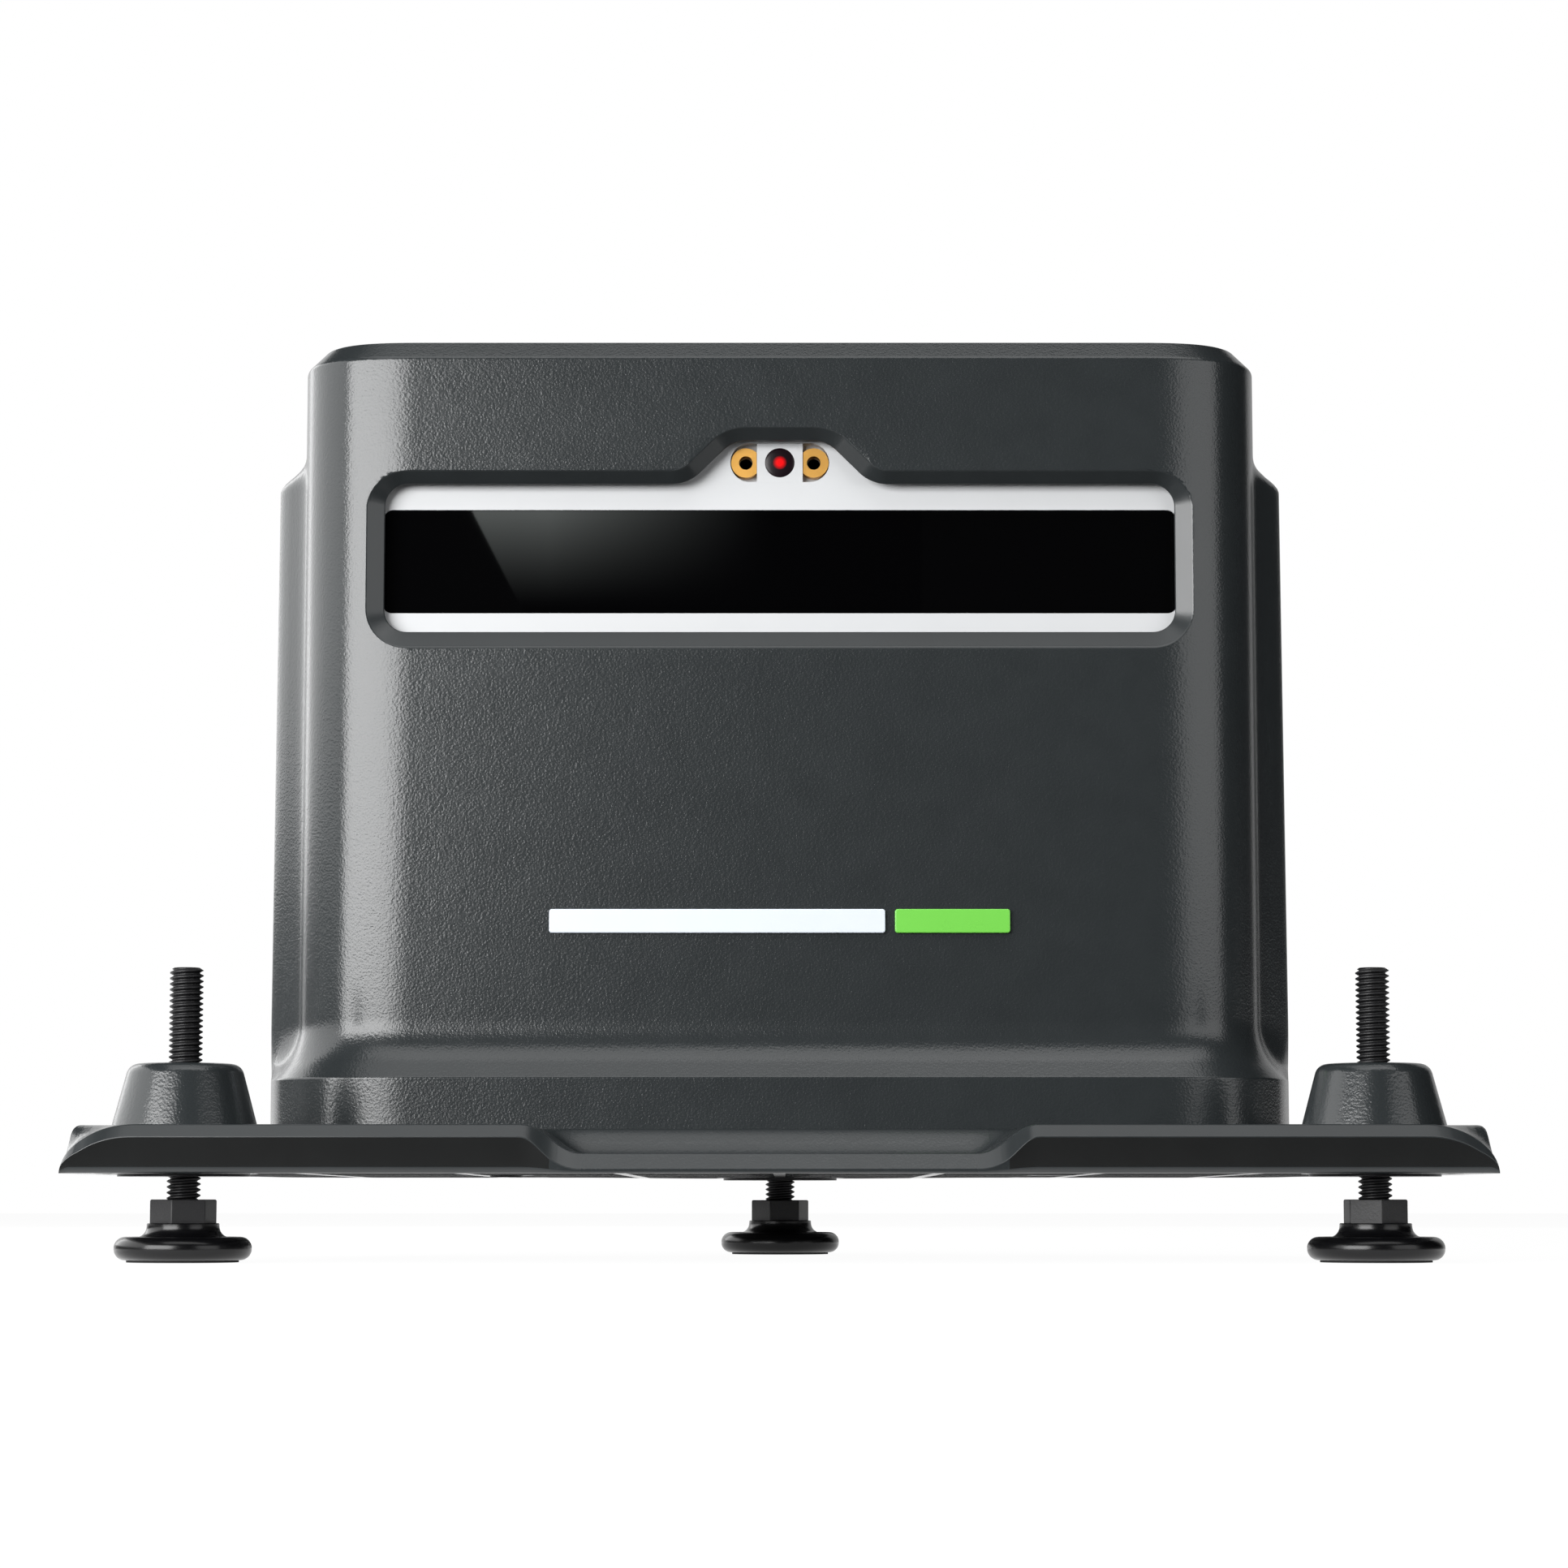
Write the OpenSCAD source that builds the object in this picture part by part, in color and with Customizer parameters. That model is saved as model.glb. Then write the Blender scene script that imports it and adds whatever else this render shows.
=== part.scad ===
// Launch monitor for golf, standing in a moulded protective cover on a base plate.
// The base plate has three levelling feet. The monitor behind the cover's window holds two cameras,
// a flash, an aiming pointer, a battery and its boards.
// X runs to the right seen from the front, Y to the back, Z up. The feet stand on Z = 0. Millimetres.
// The shapes are drawn on a larger sheet, whose units in_frame() turns into real millimetres.

/* [Size] */
// real millimetres in one unit of the sheet; every size below is in sheet units unless it says otherwise
size_k = 0.9; // [0.88:0.01:0.92]

/* [Cover] */
// width of the cover between its side bulges
cover_w = 204.8; // [200:0.2:210]
// depth of the cover above its bottom band
cover_d = 71; // [71:0.5:76]
// height of the cover's top above the floor
cover_top = 193.4; // [193:0.2:198]
// wall thickness of the cover
wall = 3; // [2.5:0.1:3.2]
// radius of the cover's upright corners
corner_r = 20; // [17:0.5:22]
// how far the bottom band stands out from the walls
flare_out = 5.5; // [4.5:0.1:6]
// how far each side bulge stands out from the walls
bulge_out = 6.2; // [5.8:0.1:7]

/* [Base plate] */
// half the width of the base plate at its underside
plate_half_w = 139; // [137:0.5:145]
// thickness of the base plate
plate_t = 9.5; // [9:0.1:11]
// height of the base plate's underside above the floor
plate_z = 17.3; // [17:0.1:19]
// how far the base plate reaches in front of the cover's middle
plate_front = 93; // [91:0.5:97]
// how far the base plate reaches behind the cover's middle
plate_rear = 75; // [73:0.5:80]

/* [Levelling feet] */
// distance of each front foot from the middle
foot_x = 117.5; // [115:0.5:119]
// distance of the front feet in front of the cover's middle
foot_front = 74.7; // [73:0.1:77]
// distance of the rear foot behind the cover's middle
foot_rear = 58; // [57:0.5:60]
// thread diameter of the studs in real millimetres: M6
stud_d = 6; // [6:6]
// height of the studs' tops above the floor
stud_top = 58; // [50:1:64]
// diameter of the foot's pad
pad_d = 27; // [24:0.5:30]

/* [Monitor] */
// width of the monitor
unit_w = 171.5; // [168:0.5:174]
// height of the monitor
unit_h = 146; // [144:0.5:148]
// height of the black window that shows
window_h = 22.1; // [20:0.1:23]
// height of the window's middle above the floor
window_z = 146.65; // [146:0.05:147.5]
// travel of the power button
button_travel = 0.8; // [0.5:0.1:0.8]

/* [Hidden] */
$fn = 64;
// gap that lets one solid slide or turn in another
slip = 0.05;
// overlap that makes a cut pass right through
eps = 0.5;
// drawing steps of a curved polygon edge
curve_steps = 10;

// the studs' diameter on the sheet
stud_sheet_d = stud_d / size_k;
plate_top = plate_z + plate_t;
ledge_z = plate_top + 10.6;
flare_top = ledge_z + 8.2;
// radius of the hollow curve that reaches flare_out in the flare's height
flare_r = (pow(flare_out, 2) + pow(flare_top - ledge_z, 2)) / (2 * flare_out);
top_chamfer = 4;
bulge_half_w = cover_w / 2 + bulge_out;
bulge_d = 38;
shoulder_top = cover_top - 21;
shoulder_h = 8;

opening_w = 166.7;
opening_h = 31.5;
opening_z = 146.95;
opening_r = 4.5;
opening_lip = 3.6;
bump_top = opening_z + 25.05;
bump_half_top = 9.9;
bump_half_base = 19.3;
access_w = 140;
access_h = 100;
access_z = 100;
access_r = 10;

body_rear = cover_d / 2 + flare_out + 4;
body_half_w = cover_w / 2 + bulge_out + 3;
body_corner = 22;
lobe_half_w = 16;
wing_rear = -46;
plate_bevel = 2.4;
side_draft = 2.2;
boss_d = 28.5;
boss_top_d = 22;
boss_top = plate_top + 12.2;
boss_round = 2.5;
insert_d = 10;
flange_d = 26;
flange_t = 1;
flange_drop = 0.5;
notch_half_top = 50.5;
notch_half_base = 38.5;
lip_z = plate_z + 3.9;
tip_w = 13;
tip_depth = 9;

feet = [["left", -foot_x, -foot_front], ["right", foot_x, -foot_front], ["rear", 0, foot_rear]];
hex_af = 11.5;
hex_z = 7.65;
hex_top = 12.3;
sole_d = 22;
sole_t = 1.2;
pivot_d = 6;

screw_x = 57;
screw_y = 29.5;
screw_d = 3.5;
screw_head_d = 6.8;
screw_head_t = 2.4;

unit_front = -29.5;
unit_rear = 28.5;
unit_split = 5;
unit_z = plate_top + 9.2;
unit_top = unit_z + unit_h;
unit_r = 16;
shell = 2.5;
face_t = 4;
window_w = 168;
window_t = 2;
gasket_t = 0.3;
pointer_z = 167.9;
pointer_w = 21;
pointer_h = 8.4;
pointer_block_w = 9.7;
pointer_lens_d = 6.3;
sleeve_d = 6.3;
sleeve_bore = 2.9;
sleeve_x = 7.2;
camera_x = 62;
camera_d = 16;
bracket_y = -4;
bracket_t = 2;
stay_x = 79;
fix_x = 77.5;
fix_z = [unit_z + 10, unit_top - 10];
board_y = 8;
board_t = 1.6;
board_w = 140;
board_z = [unit_z + 14, unit_z + 92];
button_x = 50;
port_x = -50;
rear_port_z = unit_z + 25;
button_d = 12;
pipe_x = 34;
pipe_d = 3;

charcoal = [0.27, 0.28, 0.29];
soft_black = [0.05, 0.05, 0.055];
white_shell = [0.92, 0.92, 0.92];
foam_grey = [0.16, 0.16, 0.17];
brass_tone = [0.78, 0.6, 0.3];
steel_tone = [0.6, 0.6, 0.62];
board_green = [0.06, 0.28, 0.15];

// ---- shared shapes ----

// everything is drawn round the cover's middle, in sheet units; this puts the middle of the whole depth
// on Y = 0 and brings it to real size
module in_frame() {
  scale(size_k)
    translate([0, (plate_front - plate_rear) / 2, 0])
      children();
}

// flat rectangle with round corners, centred
module rounded_rect(w, h, r) {
  square([w - 2 * r, h], center = true);
  square([w, h - 2 * r], center = true);
  for (sx = [-1, 1])
    for (sy = [-1, 1])
      translate([sx * (w / 2 - r), sy * (h / 2 - r)])
        circle(r);
}

// upright block with round corners in plan
module slab(w, d, r, z0, z1) {
  translate([0, 0, z0])
    linear_extrude(z1 - z0)
      rounded_rect(w, d, r);
}

// a flat shape drawn in X and Z, thickened from y0 back to y1
module facing(y0, y1) {
  translate([0, y1, 0])
    rotate([90, 0, 0])
      linear_extrude(y1 - y0)
        children();
}

// round bar along Y
module bar_y(x, z, d, y0, y1) {
  translate([x, y1, z])
    rotate([90, 0, 0])
      cylinder(d = d, h = y1 - y0);
}

// block between two corners
module block(low, high) {
  translate(low)
    cube(high - low);
}

// a wall profile carried round a rounded rectangle; the profile's X starts at the corner centres
module carried_round(w, d, r, z0, z1) {
  half_w = w / 2 - r;
  half_d = d / 2 - r;
  turns = [[half_w, half_d, 0], [-half_w, half_d, 90], [-half_w, -half_d, 180], [half_w, -half_d, 270]];
  for (t = turns)
    translate([t[0], t[1], 0])
      rotate([0, 0, t[2]])
        rotate_extrude(angle = 90)
          children();
  for (side = [0, 180])
    rotate([0, 0, side]) {
      translate([half_w, 0, 0])
        rotate([90, 0, 0])
          linear_extrude(2 * half_d, center = true)
            children();
      rotate([0, 0, 90])
        translate([half_d, 0, 0])
          rotate([90, 0, 0])
            linear_extrude(2 * half_w, center = true)
              children();
    }
  block([-half_w, -half_d, z0], [half_w, half_d, z1]);
}

// height of a soft S between 0 and 1
function s_curve(t) = (1 - cos(180 * t)) / 2;

// ---- cover ----

// section through the cover's wall, from the plate over the hollow flare to the chamfered top
module cover_profile() {
  sweep = 2 * atan2(flare_out, flare_top - ledge_z);
  flare = [
    for (i = [0 : curve_steps])
      let (a = sweep * (1 - i / curve_steps))
      [corner_r + flare_r * (1 - cos(a)), flare_top - flare_r * sin(a)]
  ];
  polygon(concat(
    [[0, plate_top], [corner_r + flare_out, plate_top]],
    flare,
    [[corner_r, cover_top - top_chamfer], [corner_r - top_chamfer, cover_top], [0, cover_top]]
  ));
}

// front view of the side bulges with their sloping shoulders
module bulge_outline() {
  steps = [for (i = [0 : curve_steps]) i / curve_steps];
  right = [for (t = steps) [cover_w / 2 + bulge_out * s_curve(t), shoulder_top - shoulder_h * t]];
  left = [for (i = [0 : curve_steps]) [-right[curve_steps - i][0], right[curve_steps - i][1]]];
  polygon(concat(
    right,
    [[bulge_half_w, plate_top], [-bulge_half_w, plate_top]],
    left
  ));
}

module side_bulges() {
  intersection() {
    slab(2 * bulge_half_w, bulge_d, 7, plate_top, shoulder_top);
    facing(-bulge_d, bulge_d)
      bulge_outline();
  }
}

// the front opening's outline grown by a margin; drawn in X and Z
module opening_outline(margin) {
  translate([0, opening_z])
    rounded_rect(opening_w + 2 * margin, opening_h + 2 * margin, opening_r + margin);
}

module bump_outline(margin) {
  z_low = opening_z + opening_h / 2 - eps;
  polygon([
    [-bump_half_base - margin, z_low], [bump_half_base + margin, z_low],
    [bump_half_top + margin / 2, bump_top + margin / 2], [-bump_half_top - margin / 2, bump_top + margin / 2]
  ]);
}

// tapered cut of the front opening, wider at the outer face
module opening_cut() {
  front = -cover_d / 2;
  hull() {
    facing(front - eps, front)
      opening_outline(opening_lip);
    facing(front + wall, front + wall + eps)
      opening_outline(0);
  }
  hull() {
    facing(front - eps, front)
      bump_outline(opening_lip);
    facing(front + wall, front + wall + eps)
      bump_outline(0);
  }
}

// posts inside the cover that take the screws from below
module screw_posts() {
  post_d = 8;
  post_top = unit_z - 1;
  for (sx = [-1, 1])
    for (sy = [-1, 1])
      difference() {
        union() {
          translate([sx * screw_x, sy * screw_y, plate_top])
            cylinder(d = post_d, h = post_top - plate_top);
          translate([sx * screw_x - 1.5, sy > 0 ? screw_y : -cover_d / 2 - wall, plate_top])
            cube([3, cover_d / 2 + wall - screw_y, post_top - plate_top]);
        }
        translate([sx * screw_x, sy * screw_y, plate_top - eps])
          cylinder(d = screw_d, h = post_top - plate_top + 2 * eps);
      }
}

module cover() {
  color(charcoal) in_frame()
    union() {
      difference() {
        union() {
          carried_round(cover_w, cover_d, corner_r, plate_top, cover_top)
            cover_profile();
          side_bulges();
        }
        slab(cover_w - 2 * wall, cover_d - 2 * wall, corner_r - wall, plate_top - eps, cover_top - wall);
        slab(
          cover_w + 2 * flare_out - 2 * wall, cover_d + 2 * flare_out - 2 * wall,
          corner_r + flare_out - wall, plate_top - eps, ledge_z - 1
        );
        slab(2 * (bulge_half_w - wall), bulge_d - 2 * wall, 4, ledge_z - 2, shoulder_top - shoulder_h - wall);
        opening_cut();
        facing(cover_d / 2 - wall - eps, cover_d / 2 + eps)
          translate([0, access_z])
            rounded_rect(access_w, access_h, access_r);
      }
      screw_posts();
    }
}

// ---- base plate ----

// points of a soft S from a to b that leaves and arrives along X
function s_along_x(a, b) = [
  for (i = [0 : curve_steps])
    let (t = i / curve_steps)
    [a[0] + (b[0] - a[0]) * t, a[1] + (b[1] - a[1]) * s_curve(t)]
];

// points of a soft S from a to b that leaves and arrives along Y
function s_along_y(a, b) = [
  for (i = [0 : curve_steps])
    let (t = i / curve_steps)
    [a[0] + (b[0] - a[0]) * s_curve(t), a[1] + (b[1] - a[1]) * t]
];

// quarter ellipse that leaves a along X and arrives at b along Y
function quarter_between(a, b) = [
  for (i = [0 : curve_steps])
    let (t = 90 * i / curve_steps)
    [a[0] + (b[0] - a[0]) * sin(t), b[1] + (a[1] - b[1]) * cos(t)]
];

// right half of the plate's back edge, from the middle out to the wing's side
function back_edge() = concat(
  s_along_x([lobe_half_w, plate_rear], [lobe_half_w + 30, body_rear]),
  quarter_between([body_half_w - body_corner, body_rear], [body_half_w, body_rear - body_corner]),
  s_along_y([body_half_w, body_rear - body_corner], [plate_half_w, wing_rear])
);

function mirrored(points) = [
  for (i = [len(points) - 1 : -1 : 0])
    [-points[i][0], points[i][1]]
];

// the plate seen from above
module plate_plan() {
  edge = back_edge();
  polygon(concat(
    mirrored(edge), edge,
    [[plate_half_w, -plate_front], [-plate_half_w, -plate_front]]
  ));
}

// side view of the plate with its bevels and its leaning front wall
module plate_side_view() {
  polygon([
    [-plate_front + 1.6, plate_z], [-plate_front + 1, plate_z + 1.2],
    [-plate_front, plate_top - plate_bevel], [-plate_front + plate_bevel, plate_top],
    [plate_rear - 1, plate_top], [plate_rear, plate_top - 1], [plate_rear, plate_z]
  ]);
}

// the low part at the middle of the front edge, with soft S-shaped flanks and a sloping back
module plate_notch() {
  intersection() {
    facing(-plate_front - eps, -cover_d / 2 - flare_out)
      polygon(concat(
        [for (i = [0 : curve_steps])
          let (t = i / curve_steps)
          [notch_half_base + (notch_half_top - notch_half_base) * t,
            lip_z + (plate_top + eps - lip_z) * s_curve(t)]],
        [for (i = [0 : curve_steps])
          let (t = 1 - i / curve_steps)
          [-notch_half_base - (notch_half_top - notch_half_base) * t,
            lip_z + (plate_top + eps - lip_z) * s_curve(t)]]
      ));
    rotate([90, 0, 90])
      linear_extrude(4 * notch_half_top, center = true)
        polygon([
          [-plate_front - eps, lip_z], [-cover_d / 2 - flare_out - 7, lip_z],
          [-cover_d / 2 - flare_out - 3, plate_top + eps], [-plate_front - eps, plate_top + eps]
        ]);
  }
}

// quarter-curve cuts that lower the plate's outer front corners to thin tips
module tip_cuts() {
  tip_h = plate_t - 0.8;
  x0 = plate_half_w - tip_w;
  for (side = [0, 1])
    mirror([side, 0, 0])
      facing(-plate_front - eps, -plate_front + tip_depth)
        polygon(concat(
          [for (i = [0 : curve_steps])
            let (a = 90 * i / curve_steps)
            [x0 + tip_w * sin(a), plate_top + eps / 10 - tip_h * (1 - cos(a))]],
          [[plate_half_w + eps, plate_top - tip_h], [plate_half_w + eps, plate_top + eps],
            [x0, plate_top + eps]]
        ));
}

// hollow underside between its ribs and the solid pillars round the feet and the screws
module underside_pockets() {
  skin = 3.2;
  rib_t = 2.4;
  rib_gap = 31;
  pocket_top = lip_z - 1.5;
  difference() {
    translate([0, 0, plate_z - eps])
      linear_extrude(pocket_top - plate_z + eps)
        offset(delta = -skin - 2)
          plate_plan();
    for (i = [-4 : 4])
      translate([i * rib_gap, 0, plate_z])
        cube([rib_t, 3 * plate_front, 3 * plate_t], center = true);
    for (y = [-58, -30, 0, 30])
      translate([0, y, plate_z])
        cube([3 * plate_half_w, rib_t, 3 * plate_t], center = true);
    for (f = feet)
      translate([f[1], f[2], plate_z - 1])
        cylinder(d = flange_d + 3, h = plate_t);
    for (sx = [-1, 1])
      for (sy = [-1, 1])
        translate([sx * screw_x, sy * screw_y, plate_z - 1])
          cylinder(d = screw_head_d + 5, h = plate_t);
  }
}

// tapered pillar round a stud, with a rounded top edge
module foot_boss() {
  slope = (boss_d - boss_top_d) / 2 / (boss_top - plate_top);
  rotate_extrude()
    polygon(concat(
      [[0, plate_top - 1], [boss_d / 2 + slope, plate_top - 1]],
      [for (i = [0 : curve_steps])
        let (a = 15 + 75 * i / curve_steps)
        [boss_top_d / 2 - boss_round * 0.75 + boss_round * cos(a),
          boss_top - boss_round + boss_round * sin(a)]],
      [[0, boss_top]]
    ));
}

module base_plate() {
  color(charcoal) in_frame()
    difference() {
      union() {
        intersection() {
          translate([0, 0, plate_z])
            linear_extrude(plate_t)
              plate_plan();
          facing(-plate_front, plate_rear)
            polygon([
              [-plate_half_w, plate_z], [plate_half_w, plate_z],
              [plate_half_w - side_draft, plate_top], [-plate_half_w + side_draft, plate_top]
            ]);
          rotate([90, 0, 90])
            linear_extrude(3 * plate_half_w, center = true)
              plate_side_view();
        }
        for (f = feet)
          translate([f[1], f[2], 0])
            foot_boss();
      }
      plate_notch();
      tip_cuts();
      underside_pockets();
      for (f = feet)
        translate([f[1], f[2], plate_z - eps]) {
          cylinder(d = flange_d, h = eps + flange_t - flange_drop);
          cylinder(d = insert_d, h = boss_top - plate_z - 2 + eps);
          cylinder(d = stud_sheet_d + 0.4, h = boss_top - plate_z + 2 * eps);
        }
      for (sx = [-1, 1])
        for (sy = [-1, 1])
          translate([sx * screw_x, sy * screw_y, plate_z - eps]) {
            cylinder(d = screw_d + 0.4, h = plate_t + 2 * eps);
            cylinder(d = screw_head_d + 0.6, h = screw_head_t + eps);
          }
    }
}

// flanged threaded bushings, drawn with plain bores
module thread_inserts() {
  color(steel_tone) in_frame()
    for (f = feet)
      translate([f[1], f[2], plate_z - flange_drop])
        difference() {
          union() {
            cylinder(d = flange_d, h = flange_t);
            cylinder(d = insert_d, h = boss_top - plate_z - 2 + flange_drop);
          }
          translate([0, 0, -eps])
            cylinder(d = stud_sheet_d, h = boss_top);
        }
}

// pan-head screws that hold the cover down on the plate; the front left one sits a little proud
module cover_screws() {
  proud = 0.35;
  color(soft_black) in_frame()
    for (sx = [-1, 1])
      for (sy = [-1, 1])
        translate([sx * screw_x, sy * screw_y, plate_z - (sx + sy < 0 ? proud : 0)]) {
          cylinder(d = screw_head_d, h = screw_head_t + (sx + sy < 0 ? proud : 0));
          cylinder(d = screw_d, h = plate_t + 7);
        }
}

// ---- plain badge ----

badge_w = 96;
badge_h = 5;
badge_t = 0.8;
badge_z = 70;
accent_w = 24;

module badge_bar() {
  color([0.85, 0.86, 0.87]) in_frame()
    facing(-cover_d / 2 - badge_t, -cover_d / 2)
      translate([-(accent_w + 2) / 2, badge_z])
        square([badge_w - accent_w - 2, badge_h], center = true);
}

module badge_accent() {
  color([0.4, 0.72, 0.25]) in_frame()
    facing(-cover_d / 2 - badge_t, -cover_d / 2)
      translate([(badge_w - accent_w) / 2, badge_z])
        square([accent_w, badge_h], center = true);
}

// ---- foam round the monitor ----

module foam_bottom() {
  color(foam_grey) in_frame()
    block([-78, -23, plate_top], [78, 23, unit_z]);
}

module foam_top() {
  color(foam_grey) in_frame()
    block([-66, -24, unit_top], [66, 24, cover_top - wall]);
}

module foam_side() {
  pad = bulge_d / 2 - 8;
  block([unit_w / 2, -pad, unit_z + 24], [bulge_half_w - wall, pad, shoulder_top - shoulder_h - wall - 2]);
}

module foam_left() {
  color(foam_grey) in_frame()
    mirror([1, 0, 0])
      foam_side();
}

module foam_right() {
  color(foam_grey) in_frame()
    foam_side();
}

// strips between the monitor's back and the cover's rear wall
module foam_rear() {
  color(foam_grey) in_frame()
    for (z = [unit_z + 2, access_z + access_h / 2 + 6])
      block([-60, unit_rear, z], [60, cover_d / 2 - wall, z + 10]);
}

// strips between the monitor's face and the cover's front wall, round the opening
module foam_front() {
  color(foam_grey) in_frame() {
    block([-76, -cover_d / 2 + wall, opening_z - opening_h / 2 - 12],
      [76, unit_front, opening_z - opening_h / 2 - 2]);
    for (side = [0, 1])
      mirror([side, 0, 0])
        block([26, -cover_d / 2 + wall, opening_z + opening_h / 2 + 2],
          [72, unit_front, opening_z + opening_h / 2 + 12]);
  }
}

// ---- monitor housing ----

unit_mid_z = unit_z + unit_h / 2;

// outline of the monitor from the front, drawn smaller by an inset
module unit_outline(inset) {
  translate([0, unit_mid_z])
    rounded_rect(unit_w - 2 * inset, unit_h - 2 * inset, unit_r - inset);
}

module front_housing() {
  window_y = unit_front + 0.3 + window_t + gasket_t;
  color(white_shell) in_frame()
    difference() {
      union() {
        difference() {
          facing(unit_front, unit_split)
            unit_outline(0);
          facing(unit_front + face_t, unit_split + eps)
            unit_outline(shell);
        }
        for (side = [-1, 1]) {
          for (z = fix_z)
            bar_y(side * fix_x, z, 8, unit_front + face_t - eps, unit_split);
          bar_y(side * stay_x, window_z, 6, unit_front + face_t - eps, bracket_y);
        }
      }
      facing(unit_front - eps, window_y)
        translate([0, window_z])
          rounded_rect(window_w, window_h, 2);
      facing(unit_front - eps, unit_front + face_t + eps)
        translate([0, window_z])
          rounded_rect(window_w - 20, window_h - 6, 2);
      facing(unit_front - eps, unit_front + 3)
        translate([0, pointer_z])
          rounded_rect(pointer_w, pointer_h, pointer_h / 2 - 0.01);
      for (x = [-sleeve_x, 0, sleeve_x])
        bar_y(x, pointer_z, sleeve_bore, unit_front - eps, unit_front + face_t + eps);
      for (side = [-1, 1])
        for (z = fix_z)
          bar_y(side * fix_x, z, 3, unit_split - 14, unit_split + eps);
    }
}

module rear_housing() {
  color(white_shell) in_frame()
    difference() {
      union() {
        difference() {
          facing(unit_split, unit_rear)
            unit_outline(0);
          facing(unit_split - eps, unit_rear - shell)
            unit_outline(shell);
        }
        for (side = [-1, 1]) {
          for (z = fix_z)
            bar_y(side * fix_x, z, 8, unit_split, unit_rear - shell + eps);
          for (z = [board_z[0] + 5, board_z[1] - 5])
            bar_y(side * (board_w / 2 - 6), z, 6, board_y + board_t, unit_rear - shell + eps);
        }
      }
      for (side = [-1, 1])
        for (z = fix_z) {
          bar_y(side * fix_x, z, 3.4, unit_split - eps, unit_rear + eps);
          bar_y(side * fix_x, z, 6, unit_rear - 2.2, unit_rear + eps);
        }
      bar_y(button_x, rear_port_z, button_d, unit_rear - shell - eps, unit_rear + eps);
      bar_y(pipe_x, rear_port_z, pipe_d + 0.1, unit_rear - shell - eps, unit_rear + eps);
      facing(unit_rear - shell - eps, unit_rear + eps)
        translate([port_x, rear_port_z])
          rounded_rect(9.6, 3.8, 1.2);
    }
}

module housing_screws() {
  color(steel_tone) in_frame()
    for (side = [-1, 1])
      for (z = fix_z) {
        bar_y(side * fix_x, z, 5.6, unit_rear - 2.2, unit_rear - 0.4);
        bar_y(side * fix_x, z, 3, unit_split - 12, unit_rear - 2);
      }
}

// ---- window and pointer ----

module window() {
  color([0.01, 0.01, 0.012]) in_frame()
    facing(unit_front + 0.3, unit_front + 0.3 + window_t)
      translate([0, window_z])
        rounded_rect(window_w - 0.2, window_h - 0.2, 1.9);
}

module window_gasket() {
  color(soft_black) in_frame()
    facing(unit_front + 0.3 + window_t, unit_front + 0.3 + window_t + gasket_t)
      translate([0, window_z])
        difference() {
          rounded_rect(window_w - 0.4, window_h - 0.4, 1.8);
          rounded_rect(window_w - 20, window_h - 6, 2);
        }
}

module pointer_block() {
  color(white_shell) in_frame()
    difference() {
      facing(unit_front + 0.2, unit_front + 3)
        translate([0, pointer_z])
          square([pointer_block_w, pointer_h - 0.1], center = true);
      bar_y(0, pointer_z, pointer_lens_d, unit_front - eps, unit_front + 2);
      bar_y(0, pointer_z, sleeve_bore, unit_front - eps, unit_front + 3 + eps);
    }
}

module pointer_lens() {
  color([0.03, 0.02, 0.02]) in_frame()
    bar_y(0, pointer_z, pointer_lens_d - 0.02, unit_front + 0.05, unit_front + 2);
}

// brass tubes each side of the pointer, cut flat where the block passes
module pointer_sleeves() {
  color(brass_tone) in_frame()
    difference() {
      for (side = [-1, 1])
        difference() {
          bar_y(side * sleeve_x, pointer_z, sleeve_d, unit_front + 0.5, unit_front + 3);
          bar_y(side * sleeve_x, pointer_z, sleeve_bore, unit_front - eps, unit_front + 3 + eps);
        }
      facing(unit_front - eps, unit_front + 3 + eps)
        translate([0, pointer_z])
          square([pointer_block_w + 0.1, 2 * pointer_h], center = true);
    }
}

// diode module that shines through the pointer's lens
module pointer_module() {
  color(brass_tone) in_frame()
    bar_y(0, pointer_z, 8, unit_front + face_t, bracket_y);
}

// ---- cameras and flash ----

module camera_barrels() {
  color(soft_black) in_frame()
    for (side = [-1, 1])
      difference() {
        union() {
          bar_y(side * camera_x, window_z, camera_d, unit_front + face_t + 3, bracket_y - 6);
          bar_y(side * camera_x, window_z, camera_d - 4, bracket_y - 6, bracket_y);
        }
        bar_y(side * camera_x, window_z, camera_d - 4, unit_front + face_t, unit_front + face_t + 5);
        bar_y(side * camera_x, window_z, camera_d - 8, unit_front + face_t, bracket_y - 2);
      }
}

module camera_lenses() {
  color([0.1, 0.12, 0.2]) in_frame()
    for (side = [-1, 1])
      bar_y(side * camera_x, window_z, camera_d - 4.02, unit_front + face_t + 3.4, unit_front + face_t + 5);
}

module camera_bracket() {
  color(steel_tone) in_frame()
    union() {
      block([-stay_x - 3, bracket_y, window_z - 14], [stay_x + 3, bracket_y + bracket_t, window_z + 13]);
      for (side = [-1, 1])
        bar_y(side * 36, window_z, 5, -10.4, bracket_y + eps);
    }
}

module flash_board() {
  color(board_green) in_frame()
    block([-44, -12, window_z - 9], [44, -10.4, window_z + 9]);
}

module flash_leds() {
  color([0.9, 0.85, 0.6]) in_frame()
    for (i = [-4 : 4])
      for (dz = [-4, 4])
        translate([i * 9 - 1.5, -13.5, window_z + dz - 1.5])
          cube([3, 1.5, 3]);
}

// ---- boards, battery and wiring ----

module main_board() {
  color(board_green) in_frame()
    block([-board_w / 2, board_y, board_z[0]], [board_w / 2, board_y + board_t, board_z[1]]);
}

module shield_can() {
  color(steel_tone) in_frame()
    block([-52, board_y - 3, board_z[1] - 34], [-12, board_y, board_z[1] - 6]);
}

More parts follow.
